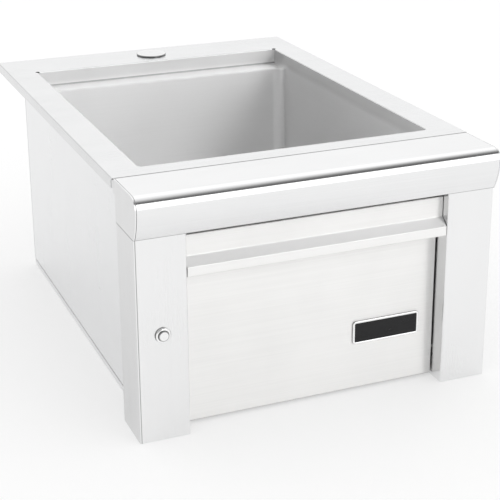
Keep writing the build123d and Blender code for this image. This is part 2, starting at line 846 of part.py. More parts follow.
def drain_locknut():
    """The lugged nut that clamps the strainer to the bowl."""
    top = strainer_seat - bowl_sheet - gasket_depth - slip_washer_depth
    bottom = top - locknut_depth
    rim = strainer_radius + screw_fit + locknut_wall
    nut = rod_z(0, bowl_middle, bottom, top, rim)
    for i in range(locknut_lugs):
        lug = block(rim - locknut_wall / 2, rim + locknut_lug, -locknut_lug, locknut_lug, bottom, top)
        nut += Pos(0, bowl_middle, 0) * Rot(0, 0, 360 * i / locknut_lugs) * lug
    return nut - rod_z(0, bowl_middle, bottom - 1, top + 1, strainer_radius + screw_fit)


def strainer_basket():
    """The lift-out basket: a tapered cup with slots in its wall and holes in its floor."""
    floor_radius = basket_wall_radius - basket_taper
    rim_top = basket_rest + basket_sheet
    floor_top = basket_floor + basket_sheet
    cup = turned([
        (0, basket_floor), (floor_radius, basket_floor), (basket_wall_radius, basket_rest),
        (basket_rim_radius, basket_rest), (basket_rim_radius, rim_top),
        (basket_wall_radius - basket_sheet, rim_top), (floor_radius - basket_sheet, floor_top), (0, floor_top),
    ], 0, 0)
    slot_middle = (basket_rest + basket_floor) / 2
    for i in range(basket_slots):
        slot = block(floor_radius - 3 * basket_sheet, basket_wall_radius + 1, -slot_width / 2, slot_width / 2,
                     slot_middle - slot_height / 2, slot_middle + slot_height / 2)
        cup -= Rot(0, 0, 360 * i / basket_slots) * slot
    for i in range(basket_holes):
        hole = rod_z(basket_hole_ring, 0, basket_floor - 1, floor_top + 1, basket_hole_radius)
        cup -= Rot(0, 0, 360 * i / basket_holes) * hole
    cup -= rod_z(0, 0, basket_floor - 1, floor_top + 1, post_radius + pin_fit)
    return Pos(0, bowl_middle, 0) * cup


def basket_knob():
    """The basket's post with the knob that lifts it."""
    knob_top = strainer_top + knob_rise
    knob_bottom = knob_top - knob_height
    shoulder = basket_floor + basket_sheet
    foot = basket_floor - stopper_depth
    waist = post_radius * 2
    return turned([
        (0, foot), (post_radius, foot), (post_radius, shoulder), (waist, shoulder), (waist, shoulder + waist / 2),
        (post_radius, shoulder + waist), (post_radius, knob_bottom), (knob_radius, knob_bottom + waist / 2),
        (knob_radius, knob_top - waist / 4), (knob_radius - waist / 4, knob_top), (0, knob_top),
    ], 0, bowl_middle)


def basket_stopper():
    """The rubber disc under the basket that can close the drain's throat."""
    rim = throat_radius + stopper_overlap
    foot = basket_floor - stopper_depth
    return turned([
        (post_radius + pin_fit, basket_floor), (rim, basket_floor), (rim, basket_floor - stopper_depth / 2),
        (throat_radius - stopper_overlap, foot), (post_radius + pin_fit, foot),
    ], 0, bowl_middle)


nodes = {
    "deck": deck,
    "basin": basin,
    "basin_pads": basin_pads,
    "front_rail": front_rail,
    "left_leg": left_leg,
    "right_leg": leg,
    "leg_bolts": leg_bolts,
    "left_side_panel": lambda: mirrored(side_panel()),
    "right_side_panel": side_panel,
    "back_panel": back_panel,
    "back_screws": back_screws,
    "bottom_pan": bottom_pan,
    "crossbar": crossbar,
    "front_sill": front_sill,
    "hinge_pins": lambda: pair(headed_pin(hinge_pin_radius, hinge_pin_reach, hinge_z)),
    "stop_pins": lambda: pair(headed_pin(stop_pin_radius, stop_pin_reach, stop_z)),
    "door_panel": door_panel,
    "door_pull": door_pull,
    "door_cover": door_cover,
    "hinge_bushes": lambda: pair(hinge_bush()),
    "catch_bodies": lambda: pair(catch_body()),
    "catch_magnets": lambda: pair(catch_magnet()),
    "catch_strikes": lambda: pair(strike()),
    "door_bumpers": lambda: pair(bumper()),
    "plate_rim": plate_rim_frame,
    "plate_face": plate_face,
    "button_bezel": button_bezel,
    "button_seal": button_seal,
    "button_cap": button_cap,
    "button_spring": button_spring,
    "button_nut": button_nut,
    "switch_body": switch_body,
    "tap_hole_cover": tap_hole_cover,
    "cover_seal": cover_seal,
    "cover_washer": cover_washer,
    "cover_wing_nut": cover_wing_nut,
    "strainer_body": strainer_body,
    "drain_gasket": drain_gasket,
    "slip_washer": slip_washer,
    "drain_locknut": drain_locknut,
    "strainer_basket": strainer_basket,
    "basket_knob": basket_knob,
    "basket_stopper": basket_stopper,
}
for node, make in nodes.items():
    save(node, make())
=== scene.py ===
import json
import math

import bmesh
import bpy
import numpy as np
from mathutils import Matrix, Vector
from mathutils.geometry import tessellate_polygon

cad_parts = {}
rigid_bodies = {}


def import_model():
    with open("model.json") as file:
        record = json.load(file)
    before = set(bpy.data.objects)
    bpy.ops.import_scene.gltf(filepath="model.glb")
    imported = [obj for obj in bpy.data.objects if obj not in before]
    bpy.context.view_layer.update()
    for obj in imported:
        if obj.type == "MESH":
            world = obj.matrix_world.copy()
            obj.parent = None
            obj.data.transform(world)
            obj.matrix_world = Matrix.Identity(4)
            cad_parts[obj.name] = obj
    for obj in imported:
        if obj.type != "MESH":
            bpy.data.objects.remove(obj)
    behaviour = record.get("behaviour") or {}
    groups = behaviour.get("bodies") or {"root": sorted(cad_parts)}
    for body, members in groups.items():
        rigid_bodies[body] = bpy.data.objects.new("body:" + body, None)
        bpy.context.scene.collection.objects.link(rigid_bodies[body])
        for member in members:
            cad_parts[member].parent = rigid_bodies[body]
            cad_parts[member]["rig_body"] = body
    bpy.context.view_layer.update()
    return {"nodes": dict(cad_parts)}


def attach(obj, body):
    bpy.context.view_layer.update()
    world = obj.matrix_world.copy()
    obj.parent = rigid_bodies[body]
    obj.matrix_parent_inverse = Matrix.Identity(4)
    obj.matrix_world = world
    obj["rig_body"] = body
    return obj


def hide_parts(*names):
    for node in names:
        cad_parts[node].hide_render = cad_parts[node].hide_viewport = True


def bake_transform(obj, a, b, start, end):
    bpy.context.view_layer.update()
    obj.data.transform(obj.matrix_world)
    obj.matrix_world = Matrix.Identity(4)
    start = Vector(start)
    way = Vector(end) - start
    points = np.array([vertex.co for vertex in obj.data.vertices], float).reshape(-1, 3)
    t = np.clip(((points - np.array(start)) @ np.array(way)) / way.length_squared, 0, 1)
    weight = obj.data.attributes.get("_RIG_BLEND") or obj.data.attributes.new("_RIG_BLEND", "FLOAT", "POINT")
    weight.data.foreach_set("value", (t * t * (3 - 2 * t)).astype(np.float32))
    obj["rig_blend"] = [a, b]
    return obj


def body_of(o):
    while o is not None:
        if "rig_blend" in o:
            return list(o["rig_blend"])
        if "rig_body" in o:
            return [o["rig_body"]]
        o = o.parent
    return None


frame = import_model()
mm = 0.001

# ---- shader nodes


def feed(tree, value, socket):
    # a socket takes a link from another node, or a number as it is
    if isinstance(value, bpy.types.NodeSocket):
        tree.links.new(value, socket)
    else:
        socket.default_value = value


def give(tree, sockets, values):
    for label, value in values.items():
        feed(tree, value, sockets[label])


def node(tree, kind, values=(), **settings):
    # a shader node with its settings; the values feed its inputs, by their label or number
    made = tree.nodes.new("ShaderNode" + kind)
    for label, value in settings.items():
        setattr(made, label, value)
    give(tree, made.inputs, dict(values))
    return made


def reckon(tree, operation, *values):
    return node(tree, "Math", enumerate(values), operation=operation).outputs[0]


def reckonVector(tree, operation, *values):
    made = node(tree, "VectorMath", enumerate(values), operation=operation)
    return made.outputs["Value" if operation in ("LENGTH", "DOT_PRODUCT") else "Vector"]


def remap(tree, value, low, high, toLow=0.0, toHigh=1.0, smooth=False):
    labels = ("Value", "From Min", "From Max", "To Min", "To Max")
    values = zip(labels, (value, low, high, toLow, toHigh))
    return node(tree, "MapRange", values, interpolation_type="SMOOTHSTEP" if smooth else "LINEAR").outputs[0]


def blendColour(tree, factor, first, second):
    return node(tree, "Mix", {"Factor": factor, "A": first, "B": second}, data_type="RGBA").outputs["Result"]


# ---- studio: camera, world, floor

studio = {
    "place": (-612.3, -1603.7, 768.7),   # mm, in the object's frame
    "turn": 22.203,                      # degrees from the back direction towards the right
    "dip": 19.568,                       # degrees below level
    "roll": -0.33,
    "focal": 95.1,                       # mm on a 36 mm wide film
    "shift": -0.1,
}


def makeCamera(place, turn, dip, roll, focal, shift):
    # looks along F = (sin t cos d, cos t cos d, -sin d), then rolls about F
    t, d, r = (math.radians(v) for v in (turn, dip, roll))
    ahead = Vector((math.sin(t) * math.cos(d), math.cos(t) * math.cos(d), -math.sin(d)))
    right = Vector((math.cos(t), -math.sin(t), 0))
    up = right.cross(ahead)
    right, up = right * math.cos(r) + up * math.sin(r), up * math.cos(r) - right * math.sin(r)
    data = bpy.data.cameras.new("camera")
    data.lens = focal
    data.sensor_width = 36
    data.shift_y = shift
    data.clip_start = 0.05
    data.clip_end = 60
    camera = bpy.data.objects.new("camera", data)
    turnMatrix = Matrix((right, up, -ahead)).transposed().to_4x4()
    camera.matrix_world = Matrix.Translation(Vector(place) * mm) @ turnMatrix
    bpy.context.scene.collection.objects.link(camera)
    bpy.context.scene.camera = camera


makeCamera(**studio)


def worldLevels(tree, height, stops):
    # grey level as a function of the height of the direction, from -1 straight down to 1 straight up
    ramp = node(tree, "ValToRGB", {"Fac": remap(tree, height, -1, 1)})
    elements = ramp.color_ramp.elements
    while len(elements) < len(stops):
        elements.new(0.5)
    for element, (degrees, level) in zip(elements, stops):
        element.position = (math.sin(math.radians(degrees)) + 1) / 2
        element.color = (level, level, level, 1)
    return ramp.outputs["Color"]


def makeWorld(setting):
    world = bpy.data.worlds.new("studioWorld")
    bpy.context.scene.world = world
    world.use_nodes = True
    tree = world.node_tree
    tree.nodes.clear()
    place = node(tree, "TexCoord").outputs["Generated"]
    direction = node(tree, "SeparateXYZ", {0: place}).outputs

    def between(first, second, axis, limits):
        return blendColour(tree, remap(tree, direction[axis], *limits, smooth=True), first, second)

    levels = {part: worldLevels(tree, direction["Z"], stops) for part, stops in setting["levels"].items()}
    front = between(levels["frontLeft"], levels["frontRight"], "X", setting["leftToRight"])
    front = between(front, levels["frontSide"], "X", setting["rightToSide"])
    back = between(levels["backLeft"], levels["backRight"], "X", setting["leftToRight"])
    around = between(front, back, "Y", setting["frontToBack"])
    rays = node(tree, "LightPath").outputs
    plain = reckon(tree, "MAXIMUM", rays["Is Camera Ray"], rays["Is Diffuse Ray"])
    colour = blendColour(tree, plain, around, (1, 1, 1, 1))
    glow = node(tree, "Background", {"Strength": 1, "Color": colour})
    node(tree, "OutputWorld", {"Surface": glow.outputs[0]})


makeWorld({
    # degrees above level and the grey level there, seen in reflections only
    "levels": {
        "frontLeft": ((-90, 1.0), (-4, 1.0), (8, 0.75), (20, 0.5), (70, 0.42), (90, 0.45)),
        "frontRight": ((-90, 1.0), (-7, 1.0), (6, 1.8), (43, 1.8), (47, 0.1), (54, 0.13), (63, 0.3), (74, 0.7),
                       (90, 1.0)),
        "frontSide": ((-90, 1.0), (0, 1.0), (12, 0.95), (60, 0.8), (90, 0.5)),
        "backLeft": ((-90, 1.0), (0, 1.0), (12, 0.85), (90, 0.8)),
        "backRight": ((-90, 1.0), (2, 1.0), (10, 1.05), (22, 1.05), (28, 1.2), (90, 1.2)),
    },
    # from where to where one part fades into the next, as a share of the direction along X or Y
    "leftToRight": (-0.02, 0.16),
    "rightToSide": (0.54, 0.64),
    "frontToBack": (-0.28, 0.43),
})


def makeFloor(setting):
    half, drop = setting["half"], -setting["drop"]
    mesh = bpy.data.meshes.new("floor")
    mesh.from_pydata([(-half, -half, drop), (half, -half, drop), (half, half, drop), (-half, half, drop)],
                     [], [(0, 1, 2, 3)])
    floor = bpy.data.objects.new("floor", mesh)
    bpy.context.scene.collection.objects.link(floor)
    look = bpy.data.materials.new("floorWhite")
    look.use_nodes = True
    tree = look.node_tree
    tree.nodes.clear()
    paint = node(tree, "BsdfDiffuse", {"Color": (*setting["colour"], 1)})
    rays = node(tree, "LightPath").outputs
    seen = reckon(tree, "MAXIMUM", rays["Is Camera Ray"], rays["Is Glossy Ray"])
    lift = node(tree, "Emission", {"Strength": reckon(tree, "MULTIPLY", seen, setting["lift"])})
    both = node(tree, "AddShader", {0: paint.outputs[0], 1: lift.outputs[0]})
    node(tree, "OutputMaterial", {"Surface": both.outputs[0]})
    mesh.materials.append(look)


# metres; the lift is the strength of a glow that only the camera and mirrors see
makeFloor({"half": 8.0, "drop": 0.0005, "colour": (0.55, 0.55, 0.55), "lift": 0.46})
print("studio ready")

# ---- shape helpers: points are in mm, and become metres when a piece is made


def arc(centre, radius, start, end, steps):
    # centre + radius (cos a, sin a), for a running evenly from start to end in degrees
    a = np.radians(np.linspace(start, end, steps + 1))
    return np.asarray(centre, float) + radius * np.stack([np.cos(a), np.sin(a)], -1)


def circle(centre, radius, steps):
    return arc(centre, radius, 0, 360, steps)[:-1]


def rounded(corners, steps=6, closed=False):
    # straight runs between (u, v, radius) corners, each corner replaced by an arc tangent to its two runs
    spots = np.array([corner[:2] for corner in corners], float)
    line = []
    for k, (u, v, radius) in enumerate(corners):
        inner = closed or 0 < k < len(corners) - 1
        if radius == 0 or not inner:
            line.append(spots[k:k + 1])
            continue
        back = spots[k - 1] - spots[k]
        ahead = spots[(k + 1) % len(corners)] - spots[k]
        back, ahead = back / np.hypot(*back), ahead / np.hypot(*ahead)
        half = math.acos(np.clip(back @ ahead, -1, 1)) / 2
        middle = (back + ahead) / np.hypot(*(back + ahead))
        centre = spots[k] + middle * radius / math.sin(half)
        first = spots[k] + back * radius / math.tan(half) - centre
        last = spots[k] + ahead * radius / math.tan(half) - centre
        a0 = math.atan2(first[1], first[0])
        turn = (math.atan2(last[1], last[0]) - a0 + math.pi) % (2 * math.pi) - math.pi
        a = a0 + turn * np.linspace(0, 1, steps + 1)
        line.append(centre + radius * np.stack([np.cos(a), np.sin(a)], -1))
    return np.concatenate(line)


def carried(path, axis, levels):
    # point (i, j) has level i along the axis and path point j across it
    path, levels = np.asarray(path, float), np.asarray(levels, float)
    grid = np.empty((len(levels), len(path), 3))
    across = [k for k in range(3) if k != axis]
    grid[..., axis] = levels[:, None]
    grid[..., across] = path[None]
    return grid


def turned(profile, centre, axis=2, steps=64):
    # each (radius, height) of the profile goes round the axis through the centre:
    # point (i, j) = centre + radius i (cos, sin) of angle j + height i along the axis
    profile = np.asarray(profile, float)
    a = np.linspace(0, 2 * math.pi, steps, endpoint=False)
    across = [k for k in range(3) if k != axis]
    grid = np.empty((len(profile), steps, 3))
    grid[..., across[0]] = centre[0] + profile[:, :1] * np.cos(a)
    grid[..., across[1]] = centre[1] + profile[:, :1] * np.sin(a)
    grid[..., axis] = profile[:, 1:]
    return grid


def patch(grid, closed=False):
    # four-sided faces between neighbours of a grid, joined round its columns where it is closed
    rows, cols = grid.shape[:2]
    i, j = np.meshgrid(np.arange(rows - 1), np.arange(cols if closed else cols - 1), indexing="ij")
    k = (j + 1) % cols
    faces = np.stack([i * cols + j, i * cols + k, (i + 1) * cols + k, (i + 1) * cols + j], -1)
    return grid.reshape(-1, 3), faces.reshape(-1, 4).tolist()


def flat(loops, axis, level):
    # a flat sheet across the axis, bounded by the first loop and holed by the others, cut into triangles
    points = np.concatenate([carried(loop, axis, [level])[0] for loop in loops])
    faces = tessellate_polygon([[Vector((u, v, 0)) for u, v in loop] for loop in loops])
    return points, [list(face) for face in faces]


def mirroredX(patches):
    # the same patches with x turned to -x, their faces wound the other way
    return [(points * (-1, 1, 1), [face[::-1] for face in faces]) for points, faces in patches]


weld = 0.002 * mm


def welded(name, patches, inward=False):
    # one mesh from many patches: points closer than the weld distance become one, faces all point one way
    starts = np.cumsum([0] + [len(points) for points, _ in patches])
    points = np.concatenate([points for points, _ in patches])
    faces = [[k + start for k in face] for start, (_, part) in zip(starts, patches) for face in part]
    mesh = bpy.data.meshes.new(name)
    mesh.from_pydata((points * mm).tolist(), [], faces)
    form = bmesh.new()
    form.from_mesh(mesh)
    bmesh.ops.remove_doubles(form, verts=form.verts, dist=weld)
    bmesh.ops.dissolve_degenerate(form, edges=form.edges, dist=weld)
    bmesh.ops.recalc_face_normals(form, faces=form.faces)
    if inward:
        bmesh.ops.reverse_faces(form, faces=form.faces)
    form.to_mesh(mesh)
    form.free()
    return mesh


# degrees between faces over which an edge is eased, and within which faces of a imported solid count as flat
easing = {"over": 50, "flat": 0.5, "weight": 90}


def finish(mesh, body, nodes, look, sheet=0, edge=0, sharp=35, edgeSteps=2, stretch=None):
    # the piece rides on its body, or stretches between two; a sheet gets its thickness behind its faces, and
    # sharp edges are eased; the look is a name among the finishes
    piece = bpy.data.objects.new(mesh.name, mesh)
    bpy.context.scene.collection.objects.link(piece)
    mesh.materials.clear()
    mesh.materials.append(looks[look])
    mesh.shade_smooth()
    mesh.set_sharp_from_angle(angle=math.radians(sharp))
    if sheet:
        solid = piece.modifiers.new("sheet", "SOLIDIFY")
        solid.thickness = sheet * mm
        solid.offset = -1
        solid.use_even_offset = True
        solid.use_quality_normals = True
    if edge:
        bevel = piece.modifiers.new("edge", "BEVEL")
        bevel.width = edge * mm
        bevel.segments = edgeSteps
        bevel.limit_method = "ANGLE"
        bevel.angle_limit = math.radians(easing["over"])
    even = piece.modifiers.new("even", "WEIGHTED_NORMAL")
    even.keep_sharp = True
    even.weight = easing["weight"]
    if stretch:
        other, start, end = stretch
        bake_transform(piece, body, other, start=tuple(c * mm for c in start), end=tuple(c * mm for c in end))
    else:
        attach(piece, body)
    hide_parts(*nodes)


def eased(name, look, edge=0.3, sharp=35, stretch=None):
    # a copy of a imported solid, merged, its flat faces made whole, and its sharp edges eased
    source = frame["nodes"][name]
    mesh = source.data.copy()
    mesh.name = name.replace("_", " ").title().replace(" ", "")
    form = bmesh.new()
    form.from_mesh(mesh)
    bmesh.ops.remove_doubles(form, verts=form.verts, dist=weld)
    bmesh.ops.dissolve_limit(form, angle_limit=math.radians(easing["flat"]), verts=form.verts, edges=form.edges)
    form.to_mesh(mesh)
    form.free()
    finish(mesh, body_of(source)[0], [name], look, edge=edge, sharp=sharp,
           stretch=stretch)


# ---- places that several pieces share, in mm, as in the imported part

at = {
    "deckTop": 300.0, "deckHalf": 228.6, "deckBack": 335.75, "seam": -256.75, "nose": -335.75,
    "mouthHalf": 187.8, "mouthFront": -227.75, "mouthBack": 254.55, "bowlBack": 224.55, "bowlMiddle": -1.6,
    "railFoot": 249.5, "railHalf": 225.1, "railBack": -257.25,
    "legOuter": 227.1, "legInner": 165.4, "legFront": -324.05, "legBack": -260.75,
    "boxHalf": 208.0, "boxBack": 258.25, "doorHalf": 163.9, "doorTop": 242.5, "doorFoot": 3.0,
    "panelFront": -300.55, "doorRear": -273.75, "pullFoot": 195.5,
    "hingeY": -294.65, "hingeZ": 23.0, "buttonX": -196.25, "buttonZ": 131.9, "barrelRear": -312.05,
    "collarRear": -321.05,
}


def quarter(size, steps=6):
    # an eased edge in (inset, drop) steps: (size (1 - sin a), size (1 - cos a)) for a from 0 to 90 degrees
    a = np.radians(np.linspace(0, 90, steps + 1))
    return np.stack([size * (1 - np.sin(a)), size * (1 - np.cos(a))], -1)


def stacked(outlines, heights, axis=2):
    # outline i lies across the axis at height i; every outline has as many points
    return np.concatenate([carried(line, axis, [height]) for line, height in zip(outlines, heights)])


# ---- deck: a flat ring with a rolled outer edge, a turned-down rim, and a rounded mouth with a collar

deckSizes = {"sheet": 1.5, "rim": 12.7, "edge": 1.6, "corner": 2.5, "mouthEdge": 1.3, "mouthCorner": 6.0,
             "relief": 2.6, "tapHole": 17.5, "tapHoleY": 294.75, "notch": 5.0,
             "tip": 0.6, "leastCorner": 0.9}


def deckOutline(inset):
    half, front, back = at["deckHalf"] - inset, at["seam"], at["deckBack"] - inset
    corner = max(deckSizes["corner"] - inset, deckSizes["leastCorner"])
    stop, tuck, tip = front + deckSizes["notch"], at["railHalf"], deckSizes["tip"]
    return rounded([(-half, front, tip), (-tuck, front, 0), (tuck, front, 0), (half, front, tip),
                    (half, stop, 0), (half, back, corner), (-half, back, corner), (-half, stop, 0)], closed=True)


def mouthOutline(spread):
    # round front corners, and a relief hole cut round each sharp back corner
    radius, relief = deckSizes["mouthCorner"], deckSizes["relief"]
    x, y = at["mouthHalf"] - radius, at["mouthFront"] + radius
    left = arc((-x, y), radius + spread, 180, 270, 8)
    right = arc((x, y), radius + spread, 270, 360, 8)
    start = -math.degrees(math.acos(spread / relief))
    end = 180 - math.degrees(math.asin(spread / relief))
    hole = arc((at["mouthHalf"], at["mouthBack"]), relief, start, end, 14)
    return np.concatenate([left, right, hole, hole[::-1] * (-1, 1)])


def makeDeck():
    top, size = at["deckTop"], deckSizes
    roll = quarter(size["edge"])
    outer = [deckOutline(inset) for inset, _ in roll]
    lip = quarter(size["mouthEdge"])
    mouth = [mouthOutline(spread) for spread, _ in lip]
    hole = circle((0, size["tapHoleY"]), size["tapHole"], 48)
    rim, foot = outer[-1], top - size["rim"]
    sides = rim[16:]          # from the right notch round the back to the left notch
    front = rim[7:9]          # between the legs' side plates
    finish(welded("DeckSheet", [
        flat([outer[0], mouth[0], hole], 2, top),
        patch(stacked(outer, top - roll[:, 1]), closed=True),
        patch(carried(sides, 2, [top - size["edge"], foot])),
        patch(carried(front, 2, [top - size["edge"], foot])),
        patch(stacked(mouth, top - lip[:, 1]), closed=True),
    ]), "sink", ["deck"], "deckSteel", sheet=size["sheet"], edge=0.2)


# ---- bowl: upper band, ledge along the back, deep walls, rounded floor edge, and a fall to the drain

bowlSizes = {"sheet": 1.2, "corner": 15.0, "floorBend": 11.0, "ledge": 277.0, "ledgeHollow": 1.5, "ledgeEdge": 2.6,
             "floor": 97.0, "fall": 2.5, "fallSquare": 65.0, "recess": 56.8, "recessFloor": 92.9, "drain": 44.5}
bowlSteps = {"corner": 8, "side": 16, "bend": 6}


def bowlOutline(inset):
    # a rectangle with rounded corners whose radius shrinks with the inset; its corners stay centred
    radius, n = bowlSizes["corner"], bowlSteps
    x, front, back = at["mouthHalf"] - radius, at["mouthFront"] + radius, at["bowlBack"] - radius
    line = []
    for k, (cx, cy) in enumerate([(-x, front), (x, front), (x, back), (-x, back)]):
        line.append(arc((cx, cy), radius - inset, 180 + 90 * k, 270 + 90 * k, n["corner"]))
    sides = [np.linspace(line[k][-1], line[(k + 1) % 4][0], n["side"] + 1)[1:-1] for k in range(4)]
    return np.concatenate([part for pair in zip(line, sides) for part in pair])


def bandOutline():
    # the same points where the upper band is: tighter front corners, and two straight back corners at the mouth's back
    line, n = bowlOutline(0), bowlSteps
    radius = deckSizes["mouthCorner"]
    x, y = at["mouthHalf"] - radius, at["mouthFront"] + radius
    line[:n["corner"] + 1] = arc((-x, y), radius, 180, 270, n["corner"])
    line[n["corner"] + n["side"]:2 * n["corner"] + n["side"] + 1] = arc((x, y), radius, 270, 360, n["corner"])
    first = 2 * (n["corner"] + n["side"])          # where the right back corner starts
    last = first + n["corner"]
    step = np.linspace(0, 1, n["corner"] + 1)[:, None]
    right = line[first] * (1 - step) + np.array([at["mouthHalf"], at["mouthBack"]]) * step
    line[first:last + 1] = right
    line[last + n["side"]:last + n["side"] + n["corner"] + 1] = right[::-1] * (-1, 1)
    across = np.linspace(right[-1], right[-1] * (-1, 1), n["side"] + 1)[1:-1]
    line[last + 1:last + n["side"]] = across
    return line


def ledgeRows():
    # from the band to the deep wall each point runs (0, z) down a hollow bend, along the ledge, and over its edge;
    # both bends shrink with the width of the ledge there
    band, deep = bandOutline(), bowlOutline(0)
    width = np.hypot(*(deep - band).T)
    ahead = (deep - band) / np.maximum(width, 1e-9)[:, None]
    hollow, edge, level = bowlSizes["ledgeHollow"], bowlSizes["ledgeEdge"], bowlSizes["ledge"]
    share = np.minimum(1, width / (hollow + edge))
    rows = []
    for a in np.radians(np.linspace(0, 90, bowlSteps["bend"] + 1)):
        rows.append((hollow * share * (1 - math.cos(a)), level + hollow * share * (1 - math.sin(a))))
    for a in np.radians(np.linspace(0, 90, bowlSteps["bend"] + 1)):
        rows.append((width - edge * share * (1 - math.sin(a)), level - edge * share * (1 - math.cos(a))))
    return np.stack([np.concatenate([band + ahead * out[:, None], z[:, None]], -1) for out, z in rows])


def makeBowl():
    size = bowlSizes
    ledge = ledgeRows()
    band = carried(bandOutline(), 2, [at["deckTop"] - deckSizes["mouthEdge"]])
    bend = [(drop, size["floor"] + rise) for rise, drop in quarter(size["floorBend"], 10)]
    walls = stacked([bowlOutline(inset) for inset, _ in bend], [z for _, z in bend])
    flatFloor = bowlOutline(size["floorBend"])
    middle = np.array([0, at["bowlMiddle"]])
    reach = flatFloor - middle
    square = reach / np.array([at["mouthHalf"] - size["floorBend"], np.ptp(flatFloor[:, 1]) / 2]) * size["fallSquare"]
    out = square / np.hypot(*square.T)[:, None]
    low = size["floor"] - size["fall"]
    drain = stacked([flatFloor, square + middle, out * size["recess"] + middle, out * size["recess"] + middle,
                     out * size["drain"] + middle],
                    [size["floor"], low, low, size["recessFloor"], size["recessFloor"]])
    finish(welded("Bowl", [
        patch(np.concatenate([band, ledge, walls]), closed=True),
        patch(drain, closed=True),
    ], inward=True), "sink", ["basin"], "bowlSteel", sheet=size["sheet"], sharp=30)


# ---- front rail: a flat top, a small nose arc and a large face arc, folded back at both edges

railSizes = {"sheet": 1.5, "nose": 14.5, "face": 67.0, "foot": 30.0, "backDrop": 12.0, "fit": 0.4}


def railProfile():
    # (y, z) from the top's back edge over the nose to the foot of the face
    size, top = railSizes, at["deckTop"]
    level = top - size["nose"]
    last = 180 + math.degrees(math.asin((level - at["railFoot"]) / size["face"]))
    nose = arc((at["nose"] + size["nose"], level), size["nose"], 90, 180, 28)
    face = arc((at["nose"] + size["face"], level), size["face"], 180, last, 20)
    return np.concatenate([[(at["railBack"], top)], nose, face[1:]])


def makeRail():
    line, size = railProfile(), railSizes
    first = line[0] - (0, size["backDrop"])
    last = line[-1] + (size["foot"], 0)
    line = np.concatenate([[first], line, [last]])
    half = at["railHalf"]
    finish(welded("FrontRail", [patch(carried(line, 0, np.linspace(-half, half + size["fit"], 13)))]),
           "sink", ["front_rail"], "railSteel", sheet=size["sheet"], edge=0.25)


# ---- legs: a folded post whose outer side runs up as the plate that closes the rail's end

legSizes = {"sheet": 1.5, "bend": 2.5, "return": 34.0, "tuck": 2.5, "tuckHeight": 18.0, "deckSheet": 1.5,
            "buttonHole": 8.3, "hingeHole": 3.05, "stopHole": 2.55, "stopRise": 15}


def legPatches(buttonHole):
    size = legSizes
    outer, inner, front, back = at["legOuter"], at["legInner"], at["legFront"], at["legBack"]
    bend, top, high, seam = size["bend"], at["railFoot"], at["deckTop"], at["seam"]
    rail = railProfile()[::-1]                       # from the foot of the face up to the top's back edge
    under = high - size["tuckHeight"]
    plate = np.concatenate([
        [(front + bend, 0), (front + bend, top)], rail,
        [(at["railBack"], high - size["deckSheet"]), (seam + size["tuck"], high - size["deckSheet"]),
         (seam + size["tuck"], under), (back, under), (back, top), (back - bend, top), (back - bend, 0)]])
    near = arc((outer - bend, front + bend), bend, 0, -90, 8)
    far = arc((inner + bend, front + bend), bend, -90, -180, 8)
    tail = np.concatenate([arc((outer - bend, back - bend), bend, 0, 90, 8), [(outer - size["return"], back)]])
    face = np.array([(inner + bend, 0), (outer - bend, 0), (outer - bend, top), (inner + bend, top)])
    holes = [circle((-at["buttonX"], at["buttonZ"]), size["buttonHole"], 40)] if buttonHole else []
    cheek = np.array([(front + bend, 0), (back, 0), (back, top), (front + bend, top)])
    pins = [circle((at["hingeY"], at["hingeZ"]), size["hingeHole"], 24),
            circle((at["hingeY"], at["hingeZ"] + size["stopRise"]), size["stopHole"], 24)]
    return [flat([plate], 0, outer), patch(carried(near, 2, [0, top])), patch(carried(far, 2, [0, top])),
            patch(carried(tail, 2, [0, top])), flat([face, *holes], 1, front), flat([cheek, *pins], 0, inner)]


def makeLegs():
    for name, replaced, patches in (("RightLeg", "right_leg", legPatches(False)),
                                    ("LeftLeg", "left_leg", mirroredX(legPatches(True)))):
        finish(welded(name, patches), "sink", [replaced], "legSteel", sheet=legSizes["sheet"], edge=0.25)


# ---- box: two folded sides, a screwed back, and a bottom tray with a hole for the pipes

boxSizes = {"sheet": 1.2, "bend": 1.8, "flange": 14.0, "foot": 10.5, "top": 298.5, "notchY": -254.75,
            "notchZ": 286.8, "tabLow": 5.0, "tabHigh": 14.5, "trayEdge": 9.0, "pipeHole": 75.0}


def sidePatches():
    size = boxSizes
    outer, front, back, bend = at["boxHalf"], at["legBack"], at["boxBack"] - size["sheet"], size["bend"]
    low, high = size["foot"], size["top"]
    wall = np.array([(front + bend, low), (back - bend, low), (back - bend, high), (size["notchY"], high),
                     (size["notchY"], size["notchZ"]), (front + bend, size["notchZ"])])
    near = np.concatenate([[(outer - size["flange"], front)], arc((outer - bend, front + bend), bend, -90, 0, 8)])
    far = np.concatenate([arc((outer - bend, back - bend), bend, 0, 90, 8), [(outer - size["flange"], back)]])
    shelf = np.array([(outer - size["flange"], size["notchY"]), (outer, size["notchY"]), (outer, back - bend),
                      (outer - size["flange"], back - bend)])
    tab = np.array([(front + size["sheet"], size["tabLow"]), (back, size["tabLow"]), (back, size["tabHigh"]),
                    (front + size["sheet"], size["tabHigh"])])
    return [flat([wall], 0, outer), patch(carried(near, 2, [low, size["notchZ"]])),
            patch(carried(far, 2, [low, high])), flat([shelf], 2, high),
            flat([tab], 0, outer - size["sheet"])]


